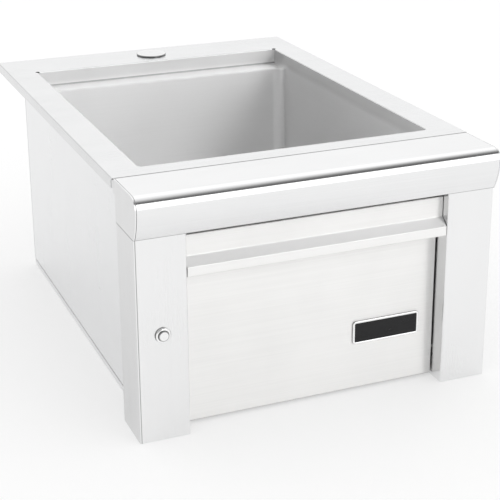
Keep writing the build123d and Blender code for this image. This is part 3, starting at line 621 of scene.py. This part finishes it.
def makeBox():
    size = boxSizes
    for name, replaced, patches in (("RightSide", "right_side_panel", sidePatches()),
                                    ("LeftSide", "left_side_panel", mirroredX(sidePatches()))):
        finish(welded(name, patches), "sink", [replaced], "sideSteel", sheet=size["sheet"], edge=0.2)
    eased("back_panel", "backSteel", edge=0.2)

    def trayOutline(inset):
        half, front, back = at["boxHalf"] - inset, at["legBack"] + inset, at["boxBack"] - inset
        corner = max(size["bend"] - inset, 0.3)
        return rounded([(-half, front, corner), (half, front, corner), (half, back, corner),
                        (-half, back, corner)], closed=True)

    roll = quarter(size["bend"])
    rings = [trayOutline(inset) for inset, _ in roll]
    hole = circle((0, at["bowlMiddle"]), size["pipeHole"], 72)
    finish(welded("BottomTray", [
        flat([rings[0], hole], 2, 0),
        patch(stacked(rings, roll[:, 1]), closed=True),
        patch(carried(rings[-1], 2, [size["bend"], size["trayEdge"]]), closed=True),
    ]), "sink", ["bottom_pan"], "backSteel", sheet=size["sheet"], edge=0.2)


# ---- door: a pan with slots for the stop pins, and a skin folded out into a pull

doorSizes = {"sheet": 1.2, "bend": 1.2, "pullReach": 0.9, "bushHole": 4.2, "slotRing": 15.0, "slotHalf": 2.8,
             "swing": 87.0,
             # the pull reaches nearer to the legs than the panel does
             "pullLine": [(at["doorRear"], at["doorTop"], 0), (-311.55, at["doorTop"], 1.6), (-311.55, 217.1, 3.0),
                          (-322.75, 207.5, 1.6), (-322.75, at["pullFoot"], 1.6), (at["doorRear"], at["pullFoot"], 0)]}


def makeDoor():
    size = doorSizes
    half, foot, top, front, rear = at["doorHalf"], at["doorFoot"], at["pullFoot"], at["panelFront"], at["doorRear"]
    roll = quarter(size["bend"])
    ring = [[(-half + i, top), (-half + i, foot + i), (half - i, foot + i), (half - i, top)] for i, _ in roll]
    pan = stacked(ring, front + roll[:, 1], axis=1)
    shelf = np.concatenate([pan[::-1, 0, :2], pan[:, 3, :2], [(half, rear), (-half, rear)]])
    centre, middle, wide = np.array([at["hingeY"], at["hingeZ"]]), size["slotRing"], size["slotHalf"]
    low = 90 - size["swing"]
    end = arc(centre, middle, low, low, 0)[0]
    slot = np.concatenate([arc(centre, middle + wide, 90, low, 12), arc(end, wide, low, low - 180, 8)[1:-1],
                           arc(centre, middle - wide, low, 90, 12), arc(centre + (0, middle), wide, 270, 90, 8)[1:-1]])
    bush = circle(centre, size["bushHole"], 28)
    cheek = np.array([(front + size["bend"], foot), (rear, foot), (rear, top), (front + size["bend"], top)])
    finish(welded("DoorPanel", [
        flat([np.array(ring[0])], 1, front), patch(pan), flat([shelf], 2, top),
        flat([np.array([(-half, front + size["bend"]), (half, front + size["bend"]), (half, rear), (-half, rear)])],
             2, foot),
        flat([cheek, slot, bush], 0, half), flat([cheek, slot, bush], 0, -half),
    ]), "door", ["door_panel"], "doorSteel", sheet=size["sheet"], edge=0.15)
    line = rounded(size["pullLine"], steps=8)
    wide = half + size["pullReach"]
    finish(welded("DoorPull", [
        patch(carried(line, 0, np.linspace(-wide, wide, 9))), flat([line], 0, wide), flat([line], 0, -wide),
    ]), "door", ["door_pull"], "doorSteel", sheet=size["sheet"], edge=0.35, edgeSteps=3)


# ---- name plate, left bare: a crowned bright rim round a dark face

plateSizes = {"middle": (97.95, 78.0), "half": (45.25, 15.25), "corner": 4.5,
              "rim": [(0, 0), (0, 1.45), (0.1, 1.75), (0.35, 2.0), (0.8, 2.15), (1.4, 2.2), (2.0, 2.15), (2.5, 2.0),
                      (2.8, 1.75), (3.0, 1.4), (3.0, 0)],
              "face": [(3.0, 0), (3.0, 1.3), (3.15, 1.4)]}


def plateOutline(inset):
    (x, z), (w, h), corner = plateSizes["middle"], plateSizes["half"], plateSizes["corner"]
    w, h, corner = w - inset, h - inset, max(corner - inset, 0.3)
    return rounded([(x - w, z - h, corner), (x + w, z - h, corner), (x + w, z + h, corner),
                    (x - w, z + h, corner)], closed=True)


def makePlate():
    front = at["panelFront"]
    rings = {part: stacked([plateOutline(inset) for inset, _ in plateSizes[part]],
                           [front - rise for _, rise in plateSizes[part]], axis=1) for part in ("rim", "face")}
    foot = stacked([plateOutline(plateSizes["rim"][-1][0]), plateOutline(0)], [front, front], axis=1)
    finish(welded("PlateRim", [patch(rings["rim"], closed=True), patch(foot, closed=True)]),
           "door", ["plate_rim"], "chrome", sharp=60)
    low, high = plateSizes["face"][0], plateSizes["face"][-1]
    finish(welded("PlateFace", [patch(rings["face"], closed=True), flat([plateOutline(high[0])], 1, front - high[1]),
                                flat([plateOutline(low[0])], 1, front)]),
           "door", ["plate_face"], "plateBlack")


# ---- push button: each (radius, y) line goes round the button's axis

buttonSizes = {
    "ring": [(6.3, at["barrelRear"]), (8.0, at["barrelRear"]), (8.0, -324.65), (9.3, -324.65), (9.5, -324.85),
             (9.45, -325.15), (9.3, -325.5), (9.05, -325.9), (8.7, -326.28), (8.3, -326.6), (7.85, -326.85),
             (7.4, -327.0), (6.95, -327.05), (6.6, -326.98), (6.38, -326.8), (6.3, -326.5), (6.3, at["collarRear"]),
             (7.1, at["collarRear"]), (7.1, at["barrelRear"])],
    "cap": [(0, -329.25), (2.5, -329.23), (4.2, -329.17), (5.3, -329.08), (5.75, -328.98), (6.0, -328.8),
            (6.15, -328.55), (6.2, -328.2), (6.2, -322.55), (7.0, -322.55), (7.0, at["collarRear"]),
            (2.0, at["collarRear"]), (2.0, -311.05), (0, -311.05)],
}


def makeButton():
    centre, size = (at["buttonX"], at["buttonZ"]), buttonSizes
    finish(welded("ButtonRing", [patch(turned(size["ring"] + size["ring"][:1], centre, 1), closed=True)]),
           "sink", ["button_bezel"], "ringChrome", sharp=40)
    finish(welded("ButtonCap", [patch(turned(size["cap"], centre, 1), closed=True)]),
           "button", ["button_cap"], "capSteel", sharp=40)


# ---- cover over the unused tap hole: a low crowned disc on a stud

coverSizes = {"line": [(0, 302.6), (8, 302.6), (14, 302.59), (19, 302.57), (21.2, 302.52), (21.7, 302.46),
                       (22.05, 302.3), (22.2, 302.05), (22.2, 300.75), (22.05, 300.6), (4.0, 300.6),
                       (4.0, 278.2), (3.4, 277.6), (0, 277.6)]}


def makeCover():
    line = turned(coverSizes["line"], (0, deckSizes["tapHoleY"]), 2, 96)
    finish(welded("TapHoleCover", [patch(line, closed=True)]),
           "sink", ["tap_hole_cover"], "coverSteel", sharp=40)


# ---- strainer: a flanged cup with a threaded outlet, and a lift-out basket with slots and holes

strainerSizes = {"inside": [(56.5, 93.5), (56.3, 94.1), (55.8, 94.42), (55.0, 94.5), (43.4, 94.5), (42.2, 94.35),
                            (41.3, 93.8), (40.9, 93.0), (40.8, 92.2), (40.8, 90.5), (38.3, 90.5), (37.9, 90.3),
                            (37.8, 89.9), (37.8, 89.0), (40.8, 88.6), (40.8, 52.5), (40.2, 50.3), (38.6, 48.9),
                            (36.4, 48.5), (22.0, 48.5), (20.4, 48.1), (19.6, 47.0), (19.5, 45.0), (19.5, 23.5)],
                 "outside": [(23.2, 23.5), (23.85, 24.2)],
                 "thread": {"from": 24.2, "to": 42.2, "pitch": 2.0, "depth": 0.7, "radius": 23.85,
                            "ridge": (0.3, 0.9, 1.2, 1.8)},
                 "collar": [(23.85, 44.0), (23.85, 45.5), (42.0, 45.5), (43.0, 46.5), (43.0, 92.9), (56.5, 92.9)]}


def makeStrainer():
    size, thread = strainerSizes, strainerSizes["thread"]
    count = round((thread["to"] - thread["from"]) / thread["pitch"])
    crest, root = thread["radius"], thread["radius"] - thread["depth"]
    ridges = []
    for k in range(count):
        z = thread["from"] + thread["pitch"] * k
        ridges += [(radius, z + rise) for radius, rise in zip((crest, root, root, crest), thread["ridge"])]
    line = size["inside"] + size["outside"] + ridges + size["collar"] + size["inside"][:1]
    finish(welded("StrainerCup", [patch(turned(line, (0, at["bowlMiddle"]), 2, 96), closed=True)]),
           "sink", ["strainer_body"], "strainerSteel", sharp=40)


basketSizes = {"sheet": 0.9, "slots": 16, "slot": (3.2, 12.0), "slotMiddle": 78.0, "wallTop": 90.5,
               "wallFoot": 66.5, "wallRadius": (37.4, 33.8), "cellSide": 6,
               "rim": [(37.9, 91.1), (38.5, 91.4), (39.8, 91.4), (40.3, 91.2), (40.5, 90.7)],
               "floor": 64.5,
               "bend": [(33.8, 66.5), (33.4, 65.4), (32.7, 64.75), (31.8, 64.5)],
               "holes": 12, "hole": 1.9, "holeRing": 24.0,
               "knob": [(0, 59.5), (2.6, 59.5), (2.6, 65.4), (5.2, 65.4), (5.2, 67.4), (4.7, 68.6), (3.6, 69.9),
                        (2.8, 71.2), (2.6, 72.6), (2.6, 91.6), (2.9, 92.4), (3.8, 92.9), (6.0, 94.4), (7.1, 95.4),
                        (7.5, 96.4), (7.3, 97.3), (6.6, 98.0), (5.4, 98.4), (3.0, 98.5), (0, 98.5)]}


def holedCell(low, high, hole, centre, side):
    # rings from a cell's straight edge to a round or oval hole in it: point (i, j) goes evenly from edge j to hole j
    (u0, v0), (u1, v1) = low, high
    s = np.linspace(0, 1, side + 1)[:-1, None]
    corners = np.array([(u0, v0), (u1, v0), (u1, v1), (u0, v1)], float)
    edge = np.concatenate([corners[k] * (1 - s) + corners[(k + 1) % 4] * s for k in range(4)])
    angle = np.arctan2(*((edge - centre) / (np.array(high) - low)).T[::-1])
    straight = np.array([0, max(hole[1] - hole[0], 0)])
    rim = np.stack([np.cos(angle), np.sin(angle)], -1) * hole[0] / 2
    rim = rim + straight / 2 * np.sign(np.round(rim[:, 1:], 6)) + centre
    t = np.linspace(0, 1, 3)[:, None, None]
    return edge[None] * (1 - t) + rim[None] * t


def makeBasket():
    size, middle = basketSizes, np.array([0, at["bowlMiddle"]])
    (r0, r1), low, high = size["wallRadius"], size["wallFoot"], size["wallTop"]
    width = 2 * math.pi / size["slots"]
    mean = (r0 + r1) / 2
    cell = holedCell((-width * mean / 2, low), (width * mean / 2, high), size["slot"], (0, size["slotMiddle"]),
                     size["cellSide"])
    radius = r1 + (r0 - r1) * (cell[..., 1] - low) / (high - low)
    patches = []
    for k in range(size["slots"]):
        a = cell[..., 0] / mean + width * k
        patches.append(patch(np.stack([radius * np.cos(a), radius * np.sin(a) + middle[1], cell[..., 1]], -1), True))
    steps = size["slots"] * size["cellSide"]
    for line in ([(r0, high)] + size["rim"], size["bend"]):
        patches.append(patch(turned(line, middle, 2, steps), closed=True))
    rim = turned(size["bend"][-1:], middle, 2, steps)[0, :, :2]
    holes = [circle(middle + size["holeRing"] * np.array([math.cos(a), math.sin(a)]), size["hole"], 16)
             for a in np.linspace(0, 2 * math.pi, size["holes"] + 1)[:-1]]
    patches.append(flat([rim, *holes], 2, size["floor"]))
    finish(welded("Basket", patches), "basket", ["strainer_basket"], "strainerSteel",
           sheet=size["sheet"])
    finish(welded("BasketKnob", [patch(turned(size["knob"], middle, 2, 48), closed=True)]), "basket", ["basket_knob"],
           "strainerSteel", sharp=40)


# ---- screws of the back: a pan head with a cross-shaped recess, on a plain shank

screwSizes = {"x": 201.3, "z": (39.0, 115.667, 192.333, 270.0), "head": 4.0, "rise": 2.2, "shank": 2.0,
              "end": 251.25, "cross": (1.1, 2.3, 1.2), "fade": (0.25, 0.6), "rings": 19, "steps": 56}


def screwHead():
    # height over the sheet: rise (1 - (r / head) ^ 3.2) ^ 0.5, less a cross of two bars, each with a width, a reach
    # and a depth, which fades over its sides and ends
    size, (bar, reach, deep), (side, end) = screwSizes, screwSizes["cross"], screwSizes["fade"]
    r = np.linspace(0, 1, size["rings"])[:, None] * size["head"]
    a = np.linspace(0, 2 * math.pi, size["steps"], endpoint=False)[None]
    u, v = r * np.cos(a), r * np.sin(a)
    rise = size["rise"] * np.sqrt(np.clip(1 - (r / size["head"]) ** 3.2, 0, 1)) + 0 * a
    sunk = [np.clip((bar / 2 - abs(p)) / side + 0.5, 0, 1) * np.clip((reach - abs(q)) / end, 0, 1)
            for p, q in ((u, v), (v, u))]
    return u, v, rise - deep * np.maximum(*sunk)


def makeScrews():
    size = screwSizes
    u, v, rise = screwHead()
    patches = []
    for x in (-size["x"], size["x"]):
        for z in size["z"]:
            patches.append(patch(np.stack([x + u, at["boxBack"] + rise, z + v], -1), closed=True))
            shank = [(size["head"], at["boxBack"]), (size["shank"], at["boxBack"]), (size["shank"], size["end"] + 1),
                     (1.2, size["end"]), (0, size["end"])]
            patches.append(patch(turned(shank, (x, z), 1, size["steps"]), closed=True))
    finish(welded("BackScrews", patches), "sink", ["back_screws"], "screwSteel", sharp=45)


print("shapes ready")
# ---- finishes: the shared effects are node groups that read Object coordinates, in metres


def nodeGroup(name, inputs, outputs):
    tree = bpy.data.node_groups.new(name, "ShaderNodeTree")
    for label, value in inputs.items():
        kind = "NodeSocketVector" if isinstance(value, tuple) else "NodeSocketFloat"
        tree.interface.new_socket(label, in_out="INPUT", socket_type=kind).default_value = value
    for label in outputs:
        tree.interface.new_socket(label, in_out="OUTPUT", socket_type="NodeSocketFloat")
    return tree, tree.nodes.new("NodeGroupInput").outputs, tree.nodes.new("NodeGroupOutput").inputs


def cloud(tree, place, scale, detail, roughness=0.55):
    values = {"Vector": place, "Scale": scale, "Detail": detail, "Roughness": roughness}
    return node(tree, "TexNoise", values).outputs[0]


def makeBrushed():
    # noise stretched along the direction whose scale is small: broad streaks, and finer ones among them
    tree, given, put = nodeGroup("brushedGrain", {"Place": (0.0, 0.0, 0.0), "Scale": (6.0, 700.0, 700.0)},
                                 ("Streaks", "Fine"))
    spread = reckonVector(tree, "MULTIPLY", given["Place"], given["Scale"])
    give(tree, put, {"Streaks": cloud(tree, spread, 1.0, 4), "Fine": cloud(tree, spread, 3.7, 2)})
    return tree


def makeTurned():
    # the same round an axis: noise on (distance from the axis, height along it) in place of the coordinates
    tree, given, put = nodeGroup("turnedGrain", {"Place": (0.0, 0.0, 0.0), "Centre": (0.0, 0.0, 0.0),
                                                 "Axis": (0.0, 0.0, 1.0), "Scale": 900.0},
                                 ("Streaks", "Fine", "Radius"))
    reach = reckonVector(tree, "SUBTRACT", given["Place"], given["Centre"])
    height = reckonVector(tree, "DOT_PRODUCT", reach, given["Axis"])
    along = node(tree, "VectorMath", {0: given["Axis"], "Scale": height}, operation="SCALE").outputs[0]
    radius = reckonVector(tree, "LENGTH", reckonVector(tree, "SUBTRACT", reach, along))
    pair = node(tree, "CombineXYZ", {0: reckon(tree, "MULTIPLY", radius, given["Scale"]),
                                     1: reckon(tree, "MULTIPLY", height, given["Scale"])}).outputs[0]
    give(tree, put, {"Streaks": cloud(tree, pair, 1.0, 4), "Fine": cloud(tree, pair, 3.1, 2), "Radius": radius})
    return tree


def makeHandled():
    # what use leaves on a sheet: broad clouds, long wiped smudges, and faint rings of drops that dried
    tree, given, put = nodeGroup("handled", {"Place": (0.0, 0.0, 0.0), "Size": 0.09}, ("Cloud", "Smudge", "Spots"))
    part = reckonVector(tree, "DIVIDE", given["Place"], given["Size"])
    wiped = cloud(tree, reckonVector(tree, "MULTIPLY", part, (1.0, 2.2, 0.6)), 1.3, 2, 0.45)
    cells = node(tree, "TexVoronoi", {"Vector": part, "Scale": 5.5}).outputs["Distance"]
    ring = reckon(tree, "ABSOLUTE", reckon(tree, "SUBTRACT", cells, 0.13))
    few = remap(tree, cloud(tree, part, 0.9, 1), 0.5, 0.62, smooth=True)
    give(tree, put, {"Cloud": cloud(tree, part, 1.0, 3), "Smudge": remap(tree, wiped, 0.4, 0.8, smooth=True),
                     "Spots": reckon(tree, "MULTIPLY", remap(tree, ring, 0.0, 0.05, 1.0, 0.0, smooth=True), few)})
    return tree


def makePaintedLineMask():
    # 1 where a coordinate is at the place, fading to 0 a width away on both sides: the mask of a painted line of shade
    # or highlight
    tree, given, put = nodeGroup("paintedLineMask", {"Value": 0.0, "At": 0.0, "Width": 0.001}, ("Mask",))
    off = reckon(tree, "ABSOLUTE", reckon(tree, "SUBTRACT", given["Value"], given["At"]))
    off = reckon(tree, "DIVIDE", off, given["Width"])
    give(tree, put, {"Mask": remap(tree, off, 0.35, 1.0, 1.0, 0.0, smooth=True)})
    return tree


def makePebbled():
    # fine pits and lumps of moulded rubber or plastic
    tree, given, put = nodeGroup("pebbled", {"Place": (0.0, 0.0, 0.0), "Size": 0.0012}, ("Lumps", "Cloud"))
    part = reckonVector(tree, "DIVIDE", given["Place"], given["Size"])
    give(tree, put, {"Lumps": cloud(tree, part, 1.0, 3, 0.6), "Cloud": cloud(tree, part, 0.06, 2)})
    return tree


effects = {"brushed": makeBrushed(), "turned": makeTurned(), "handled": makeHandled(), "paintedLineMask": makePaintedLineMask(),
           "pebbled": makePebbled()}


def apply(tree, effect, **values):
    return node(tree, "Group", values, node_tree=effects[effect]).outputs


def newLook(name):
    look = bpy.data.materials.new(name)
    look.use_nodes = True
    tree = look.node_tree
    return look, tree, tree.nodes["Principled BSDF"].inputs, node(tree, "TexCoord").outputs["Object"]


def tint(colour, level=1.0):
    return (*(min(c * level, 1.0) for c in colour), 1.0)


def varied(tree, share, colour, low, high):
    # the colour, from its low level to its high one
    return blendColour(tree, share, tint(colour, low), tint(colour, high))


def raised(tree, height):
    # the normal of a surface whose height is given in metres
    return node(tree, "Bump", {"Distance": 1.0, "Height": height}).outputs[0]


# lengths are in mm. A line is a band of painted shade or painted highlight along a place: (X, Y, Z or R for the
# distance from the turning axis, place, half width, share, level, and if it isn't everywhere, the axis and place
# beyond which it is). The painted side shade darkens faces that look along an axis: (axis, level, distance from the
# middle beyond which it is). Hole shade spots are painted dark spots of shade at (x, y, radius), on both sides
steelDefaults = {"colour": (0.865, 0.867, 0.87), "spread": 0.05, "rough": (0.2, 0.3), "scale": (6.0, 700.0, 700.0),
                 "floorScale": None, "grainDepth": 0.004, "waveDepth": 0.05, "lines": (), "paintedSideShade": None,
                 "turn": None, "spots": 0.0, "smudge": 0.12, "anisotropy": 0.7, "spreadAlong": (0.0, 0.3, 1.0),
                 "holeShadeSpots": ()}


def steelLook(name, **changes):
    setting = {**steelDefaults, **changes}
    look, tree, shader, place = newLook(name)
    xyz = node(tree, "SeparateXYZ", {0: place}).outputs
    facing = node(tree, "SeparateXYZ", {0: node(tree, "NewGeometry").outputs["Normal"]}).outputs
    if setting["turn"]:
        centre, axis = setting["turn"]
        grain = apply(tree, "turned", Place=place, Centre=tuple(c * mm for c in centre), Axis=axis)
    else:
        grain = apply(tree, "brushed", Place=place, Scale=setting["scale"])
    streaks, fine = grain["Streaks"], grain["Fine"]
    if setting["floorScale"]:
        low = apply(tree, "brushed", Place=place, Scale=setting["floorScale"])
        upward = remap(tree, reckon(tree, "ABSOLUTE", facing["Z"]), 0.5, 0.9, smooth=True)
        streaks, fine = (remap(tree, upward, 0.0, 1.0, grain[part], low[part]) for part in ("Streaks", "Fine"))
    used = apply(tree, "handled", Place=place)
    tone = reckon(tree, "MULTIPLY_ADD", streaks, 0.9, reckon(tree, "MULTIPLY_ADD", used["Cloud"], 0.7, -0.3))
    for mark, amount in (("Smudge", setting["smudge"]), ("Spots", setting["spots"])):
        tone = reckon(tree, "SUBTRACT", tone, reckon(tree, "MULTIPLY", used[mark], amount))
    less, more = 1 - setting["spread"], 1 + setting["spread"]
    colour = varied(tree, tone, setting["colour"], less, more)
    # painted side shade: faces that look along the axis, far enough from the middle, take a darker copy of the colour
    if setting["paintedSideShade"]:
        axis, level, beyond = setting["paintedSideShade"]
        aside = remap(tree, reckon(tree, "ABSOLUTE", facing[axis]), 0.55, 0.9, smooth=True)
        outside = reckon(tree, "GREATER_THAN", reckon(tree, "ABSOLUTE", xyz[axis]), beyond * mm)
        colour = blendColour(tree, reckon(tree, "MULTIPLY", aside, outside), colour,
                             varied(tree, tone, setting["colour"], level * less, level * more))
    # each line paints a band of shade or highlight into the colour
    for axis, middle, width, share, level, *beyond in setting["lines"]:
        value = grain["Radius"] if axis == "R" else xyz[axis]
        mask = apply(tree, "paintedLineMask", Value=value, At=middle * mm, Width=width * mm)["Mask"]
        for limitAxis, limit in beyond:
            mask = reckon(tree, "MULTIPLY", mask, reckon(tree, "GREATER_THAN", xyz[limitAxis], limit * mm))
        colour = blendColour(tree, reckon(tree, "MULTIPLY", mask, share), colour, (level, level, level, 1.0))
    # painted shade: a dark spot over each hole, on both sides of the middle
    for x, y, radius in setting["holeShadeSpots"]:
        aside = node(tree, "CombineXYZ", {
            0: reckon(tree, "SUBTRACT", reckon(tree, "ABSOLUTE", xyz["X"]), x * mm),
            1: reckon(tree, "SUBTRACT", xyz["Y"], y * mm)}).outputs[0]
        mask = remap(tree, reckonVector(tree, "LENGTH", aside), radius * 0.8 * mm, radius * mm, 1.0, 0.0, smooth=True)
        colour = blendColour(tree, mask, colour, (0.03, 0.03, 0.03, 1.0))
    matt = reckon(tree, "MULTIPLY_ADD", used["Smudge"], 0.3, reckon(tree, "MULTIPLY", fine, 0.8))
    grainHeight = reckon(tree, "MULTIPLY", streaks, setting["grainDepth"] * mm)
    waveHeight = reckon(tree, "MULTIPLY", used["Cloud"], setting["waveDepth"] * mm)
    give(tree, shader, {"Base Color": colour, "Metallic": 1.0,
                        "Roughness": remap(tree, matt, 0.1, 0.9, *setting["rough"]),
                        "Normal": raised(tree, reckon(tree, "ADD", grainHeight, waveHeight))})
    if not setting["turn"]:
        # reflections spread across the grain: the direction is laid into each face by the shader
        across = node(tree, "CombineXYZ", enumerate(setting["spreadAlong"])).outputs[0]
        give(tree, shader, {"Anisotropic": setting["anisotropy"], "Tangent": across})
    return look


mouldedDefaults = {"colour": (0.02, 0.02, 0.021), "rough": (0.4, 0.6), "size": 0.0012, "depth": 0.02, "level": 0.5,
                   "dust": 0.1}


def mouldedLook(name, **changes):
    setting = {**mouldedDefaults, **changes}
    look, tree, shader, place = newLook(name)
    skin = apply(tree, "pebbled", Place=place, Size=setting["size"])
    used = apply(tree, "handled", Place=place, Size=0.03)
    colour = varied(tree, skin["Cloud"], setting["colour"], 0.75, 1.3)
    dusty = reckon(tree, "MULTIPLY", used["Smudge"], setting["dust"])
    matt = reckon(tree, "MULTIPLY_ADD", used["Smudge"], 0.5, reckon(tree, "MULTIPLY", skin["Lumps"], 0.6))
    give(tree, shader, {"Base Color": blendColour(tree, dusty, colour, (0.32, 0.31, 0.3, 1.0)),
                        "Specular IOR Level": setting["level"],
                        "Roughness": remap(tree, matt, 0.1, 0.9, *setting["rough"]),
                        "Normal": raised(tree, reckon(tree, "MULTIPLY", skin["Lumps"], setting["depth"] * mm))})
    return look


# the level of the painted shade lines in seams, gaps and outlines
dark = 0.06
mirror = {"colour": (0.93, 0.93, 0.93), "spread": 0.02, "rough": (0.03, 0.07), "grainDepth": 0.0}
buttonTurn = ((at["buttonX"], -330.0, at["buttonZ"]), (0.0, 1.0, 0.0))
drainTurn = ((0.0, at["bowlMiddle"], 0.0), (0.0, 0.0, 1.0))
coverTurn = ((0.0, deckSizes["tapHoleY"], 0.0), (0.0, 0.0, 1.0))
steels = {
    # painted shade: the rim's outer sides are darker, dark spots sit at the mouth's back corners, and a dark line runs
    # along the seam to the rail
    "deckSteel": dict(
        colour=(0.808, 0.812, 0.816), spots=0.15, paintedSideShade=("X", 0.82, 200.0),
        holeShadeSpots=((at["mouthHalf"], at["mouthBack"], 3.2),), lines=(("Y", at["seam"], 1.5, 0.6, dark),)),
    # painted light and shade: the colour is lifted well above the deck's to offset the bowl's shade, a dark line is
    # painted in the ledge's back hollow, and the band above the ledge is painted darker
    "bowlSteel": dict(
        colour=(0.972, 0.972, 0.972), spread=0.025, scale=(6.0, 6.0, 600.0), floorScale=(6.0, 600.0, 6.0),
        rough=(0.41, 0.49), grainDepth=0.006, spots=0.2, anisotropy=0.93,
        lines=(("Z", bowlSizes["ledge"] + 1.55, 1.5, 0.5, dark, ("Y", at["mouthBack"] - 3.0)),
               ("Z", at["deckTop"] - 8.0, 16.0, 0.32, 0.5))),
    # painted shade: dark lines along the seam to the deck and along the rail's foot over the legs
    "railSteel": dict(
        colour=(0.848, 0.85, 0.853), rough=(0.1, 0.15), grainDepth=0.001, waveDepth=0.02, anisotropy=0.0,
        lines=(("Y", at["railBack"], 1.5, 0.6, dark), ("Z", at["railFoot"], 0.9, 0.6, dark))),
    # painted shade: the legs' outer sides are darker, with dark lines at the rail's foot and along the left leg's
    # front bend
    "legSteel": dict(
        colour=(0.88, 0.881, 0.883), spread=0.03, paintedSideShade=("X", 0.84, 200.0), scale=(700.0, 700.0, 6.0),
        spreadAlong=(1.0, 1.0, 0.0),
        lines=(("Z", at["railFoot"], 0.9, 0.6, dark), ("X", 2.1 - at["legOuter"], 0.7, 0.6, dark))),
    "sideSteel": dict(colour=(0.775, 0.778, 0.783), spread=0.03, scale=(700.0, 6.0, 700.0)),
    "backSteel": dict(colour=(0.78, 0.782, 0.785), rough=(0.3, 0.42), spread=0.07),
    # painted shade and highlight: a dark line along the door's foot, and lighter bands painted on the pull's nose and
    # slope
    "doorSteel": dict(
        colour=(0.872, 0.868, 0.858), rough=(0.36, 0.42), anisotropy=0.96,
        lines=(("Z", at["doorFoot"], 1.6, 0.5, dark), ("Z", at["pullFoot"] + 5.8, 6.6, 0.2, 0.96),
               ("Z", at["pullFoot"] + 16.8, 6.5, 0.8, 1.0))),
    "insideSteel": dict(colour=(0.76, 0.762, 0.765), rough=(0.32, 0.45), spread=0.08),
    # painted shadow: a dark line round the plate rim's foot on the door
    "chrome": dict(**mirror, waveDepth=0.005, smudge=0.2, anisotropy=0.0,
                   lines=(("Y", at["panelFront"] - 0.4, 1.6, 0.75, dark),)),
    # painted shade: the ring's flanks are much darker, and a dark line runs round its inner edge
    "ringChrome": dict(**mirror, waveDepth=0.0, turn=buttonTurn, paintedSideShade=("X", 0.12, 0.0),
                       lines=(("R", 6.3, 0.6, 0.6, dark),)),
    # painted shade: a dark line round the cap's edge
    "capSteel": dict(colour=(0.93, 0.93, 0.93), rough=(0.14, 0.22), grainDepth=0.002, waveDepth=0.0,
                     turn=buttonTurn, lines=(("R", 6.05, 1.3, 0.65, dark),)),
    # painted shadow: a dark line round the cover's edge
    "coverSteel": dict(colour=(0.8, 0.8, 0.8), rough=(0.12, 0.2), grainDepth=0.003, turn=coverTurn,
                       lines=(("R", 22.4, 1.0, 0.7, dark),)),
    "strainerSteel": dict(colour=(0.85, 0.85, 0.85), rough=(0.14, 0.24), grainDepth=0.003, turn=drainTurn,
                          spots=0.3),
    "screwSteel": dict(colour=(0.8, 0.8, 0.8), rough=(0.18, 0.3), scale=(90.0, 90.0, 90.0)),
    "zincSteel": dict(colour=(0.7, 0.72, 0.75), spread=0.12, rough=(0.28, 0.42), scale=(160.0, 160.0, 160.0),
                      grainDepth=0.006),
    "springSteel": dict(colour=(0.6, 0.6, 0.61), rough=(0.2, 0.3), scale=(300.0, 300.0, 300.0)),
    "magnetSteel": dict(colour=(0.42, 0.42, 0.43), spread=0.1, rough=(0.3, 0.4), scale=(300.0, 300.0, 300.0)),
    "brass": dict(colour=(0.78, 0.6, 0.33), spread=0.08, rough=(0.22, 0.34), turn=drainTurn),
    "nickel": dict(colour=(0.74, 0.71, 0.66), rough=(0.15, 0.25), scale=(200.0, 200.0, 200.0)),
}
moulded = {
    "plateBlack": dict(colour=(0.01, 0.01, 0.011), rough=(0.2, 0.32), size=0.0008, depth=0.001, level=0.3, dust=0.0),
    "sealRubber": dict(colour=(0.022, 0.022, 0.022), rough=(0.55, 0.75), depth=0.03),
    "padRubber": dict(colour=(0.05, 0.05, 0.052), rough=(0.6, 0.8), size=0.003, depth=0.15),
    "blackPlastic": dict(colour=(0.018, 0.018, 0.019), rough=(0.3, 0.45)),
    "greyPlastic": dict(colour=(0.3, 0.3, 0.29), rough=(0.35, 0.5)),
}
looks = {name: steelLook(name, **changes) for name, changes in steels.items()}
looks.update({name: mouldedLook(name, **changes) for name, changes in moulded.items()})
print("finishes ready")

# ---- the build

for make in (makeDeck, makeBowl, makeRail, makeLegs, makeBox, makeDoor, makePlate, makeButton, makeCover, makeStrainer,
             makeBasket, makeScrews):
    make()
carriedOver = (
    # look, size of the eased edges in mm, nodes
    ("insideSteel", 0.3, ("crossbar", "front_sill", "door_cover")),
    ("screwSteel", 0.25, ("hinge_pins", "stop_pins", "cover_washer")),
    ("zincSteel", 0.25, ("leg_bolts", "catch_strikes")),
    ("zincSteel", 0.4, ("cover_wing_nut",)),
    ("blackPlastic", 0.3, ("hinge_bushes", "catch_bodies", "switch_body")),
    ("greyPlastic", 0.3, ("slip_washer",)),
    ("magnetSteel", 0.3, ("catch_magnets",)),
    ("padRubber", 0.3, ("basin_pads",)),
    ("sealRubber", 0.2, ("door_bumpers", "button_seal", "cover_seal", "drain_gasket", "basket_stopper")),
    ("nickel", 0.4, ("button_nut",)),
    ("brass", 0.4, ("drain_locknut",)),
)
for look, edge, nodes in carriedOver:
    for name in nodes:
        eased(name, look, edge=edge)
# the spring shortens between the barrel's end and the cap's collar
eased("button_spring", "springSteel", edge=0, sharp=60,
      stretch=("button", (at["buttonX"], at["barrelRear"], at["buttonZ"]),
               (at["buttonX"], at["collarRear"], at["buttonZ"])))
print("pieces ready")

bpy.context.scene.view_settings.view_transform = "Standard"
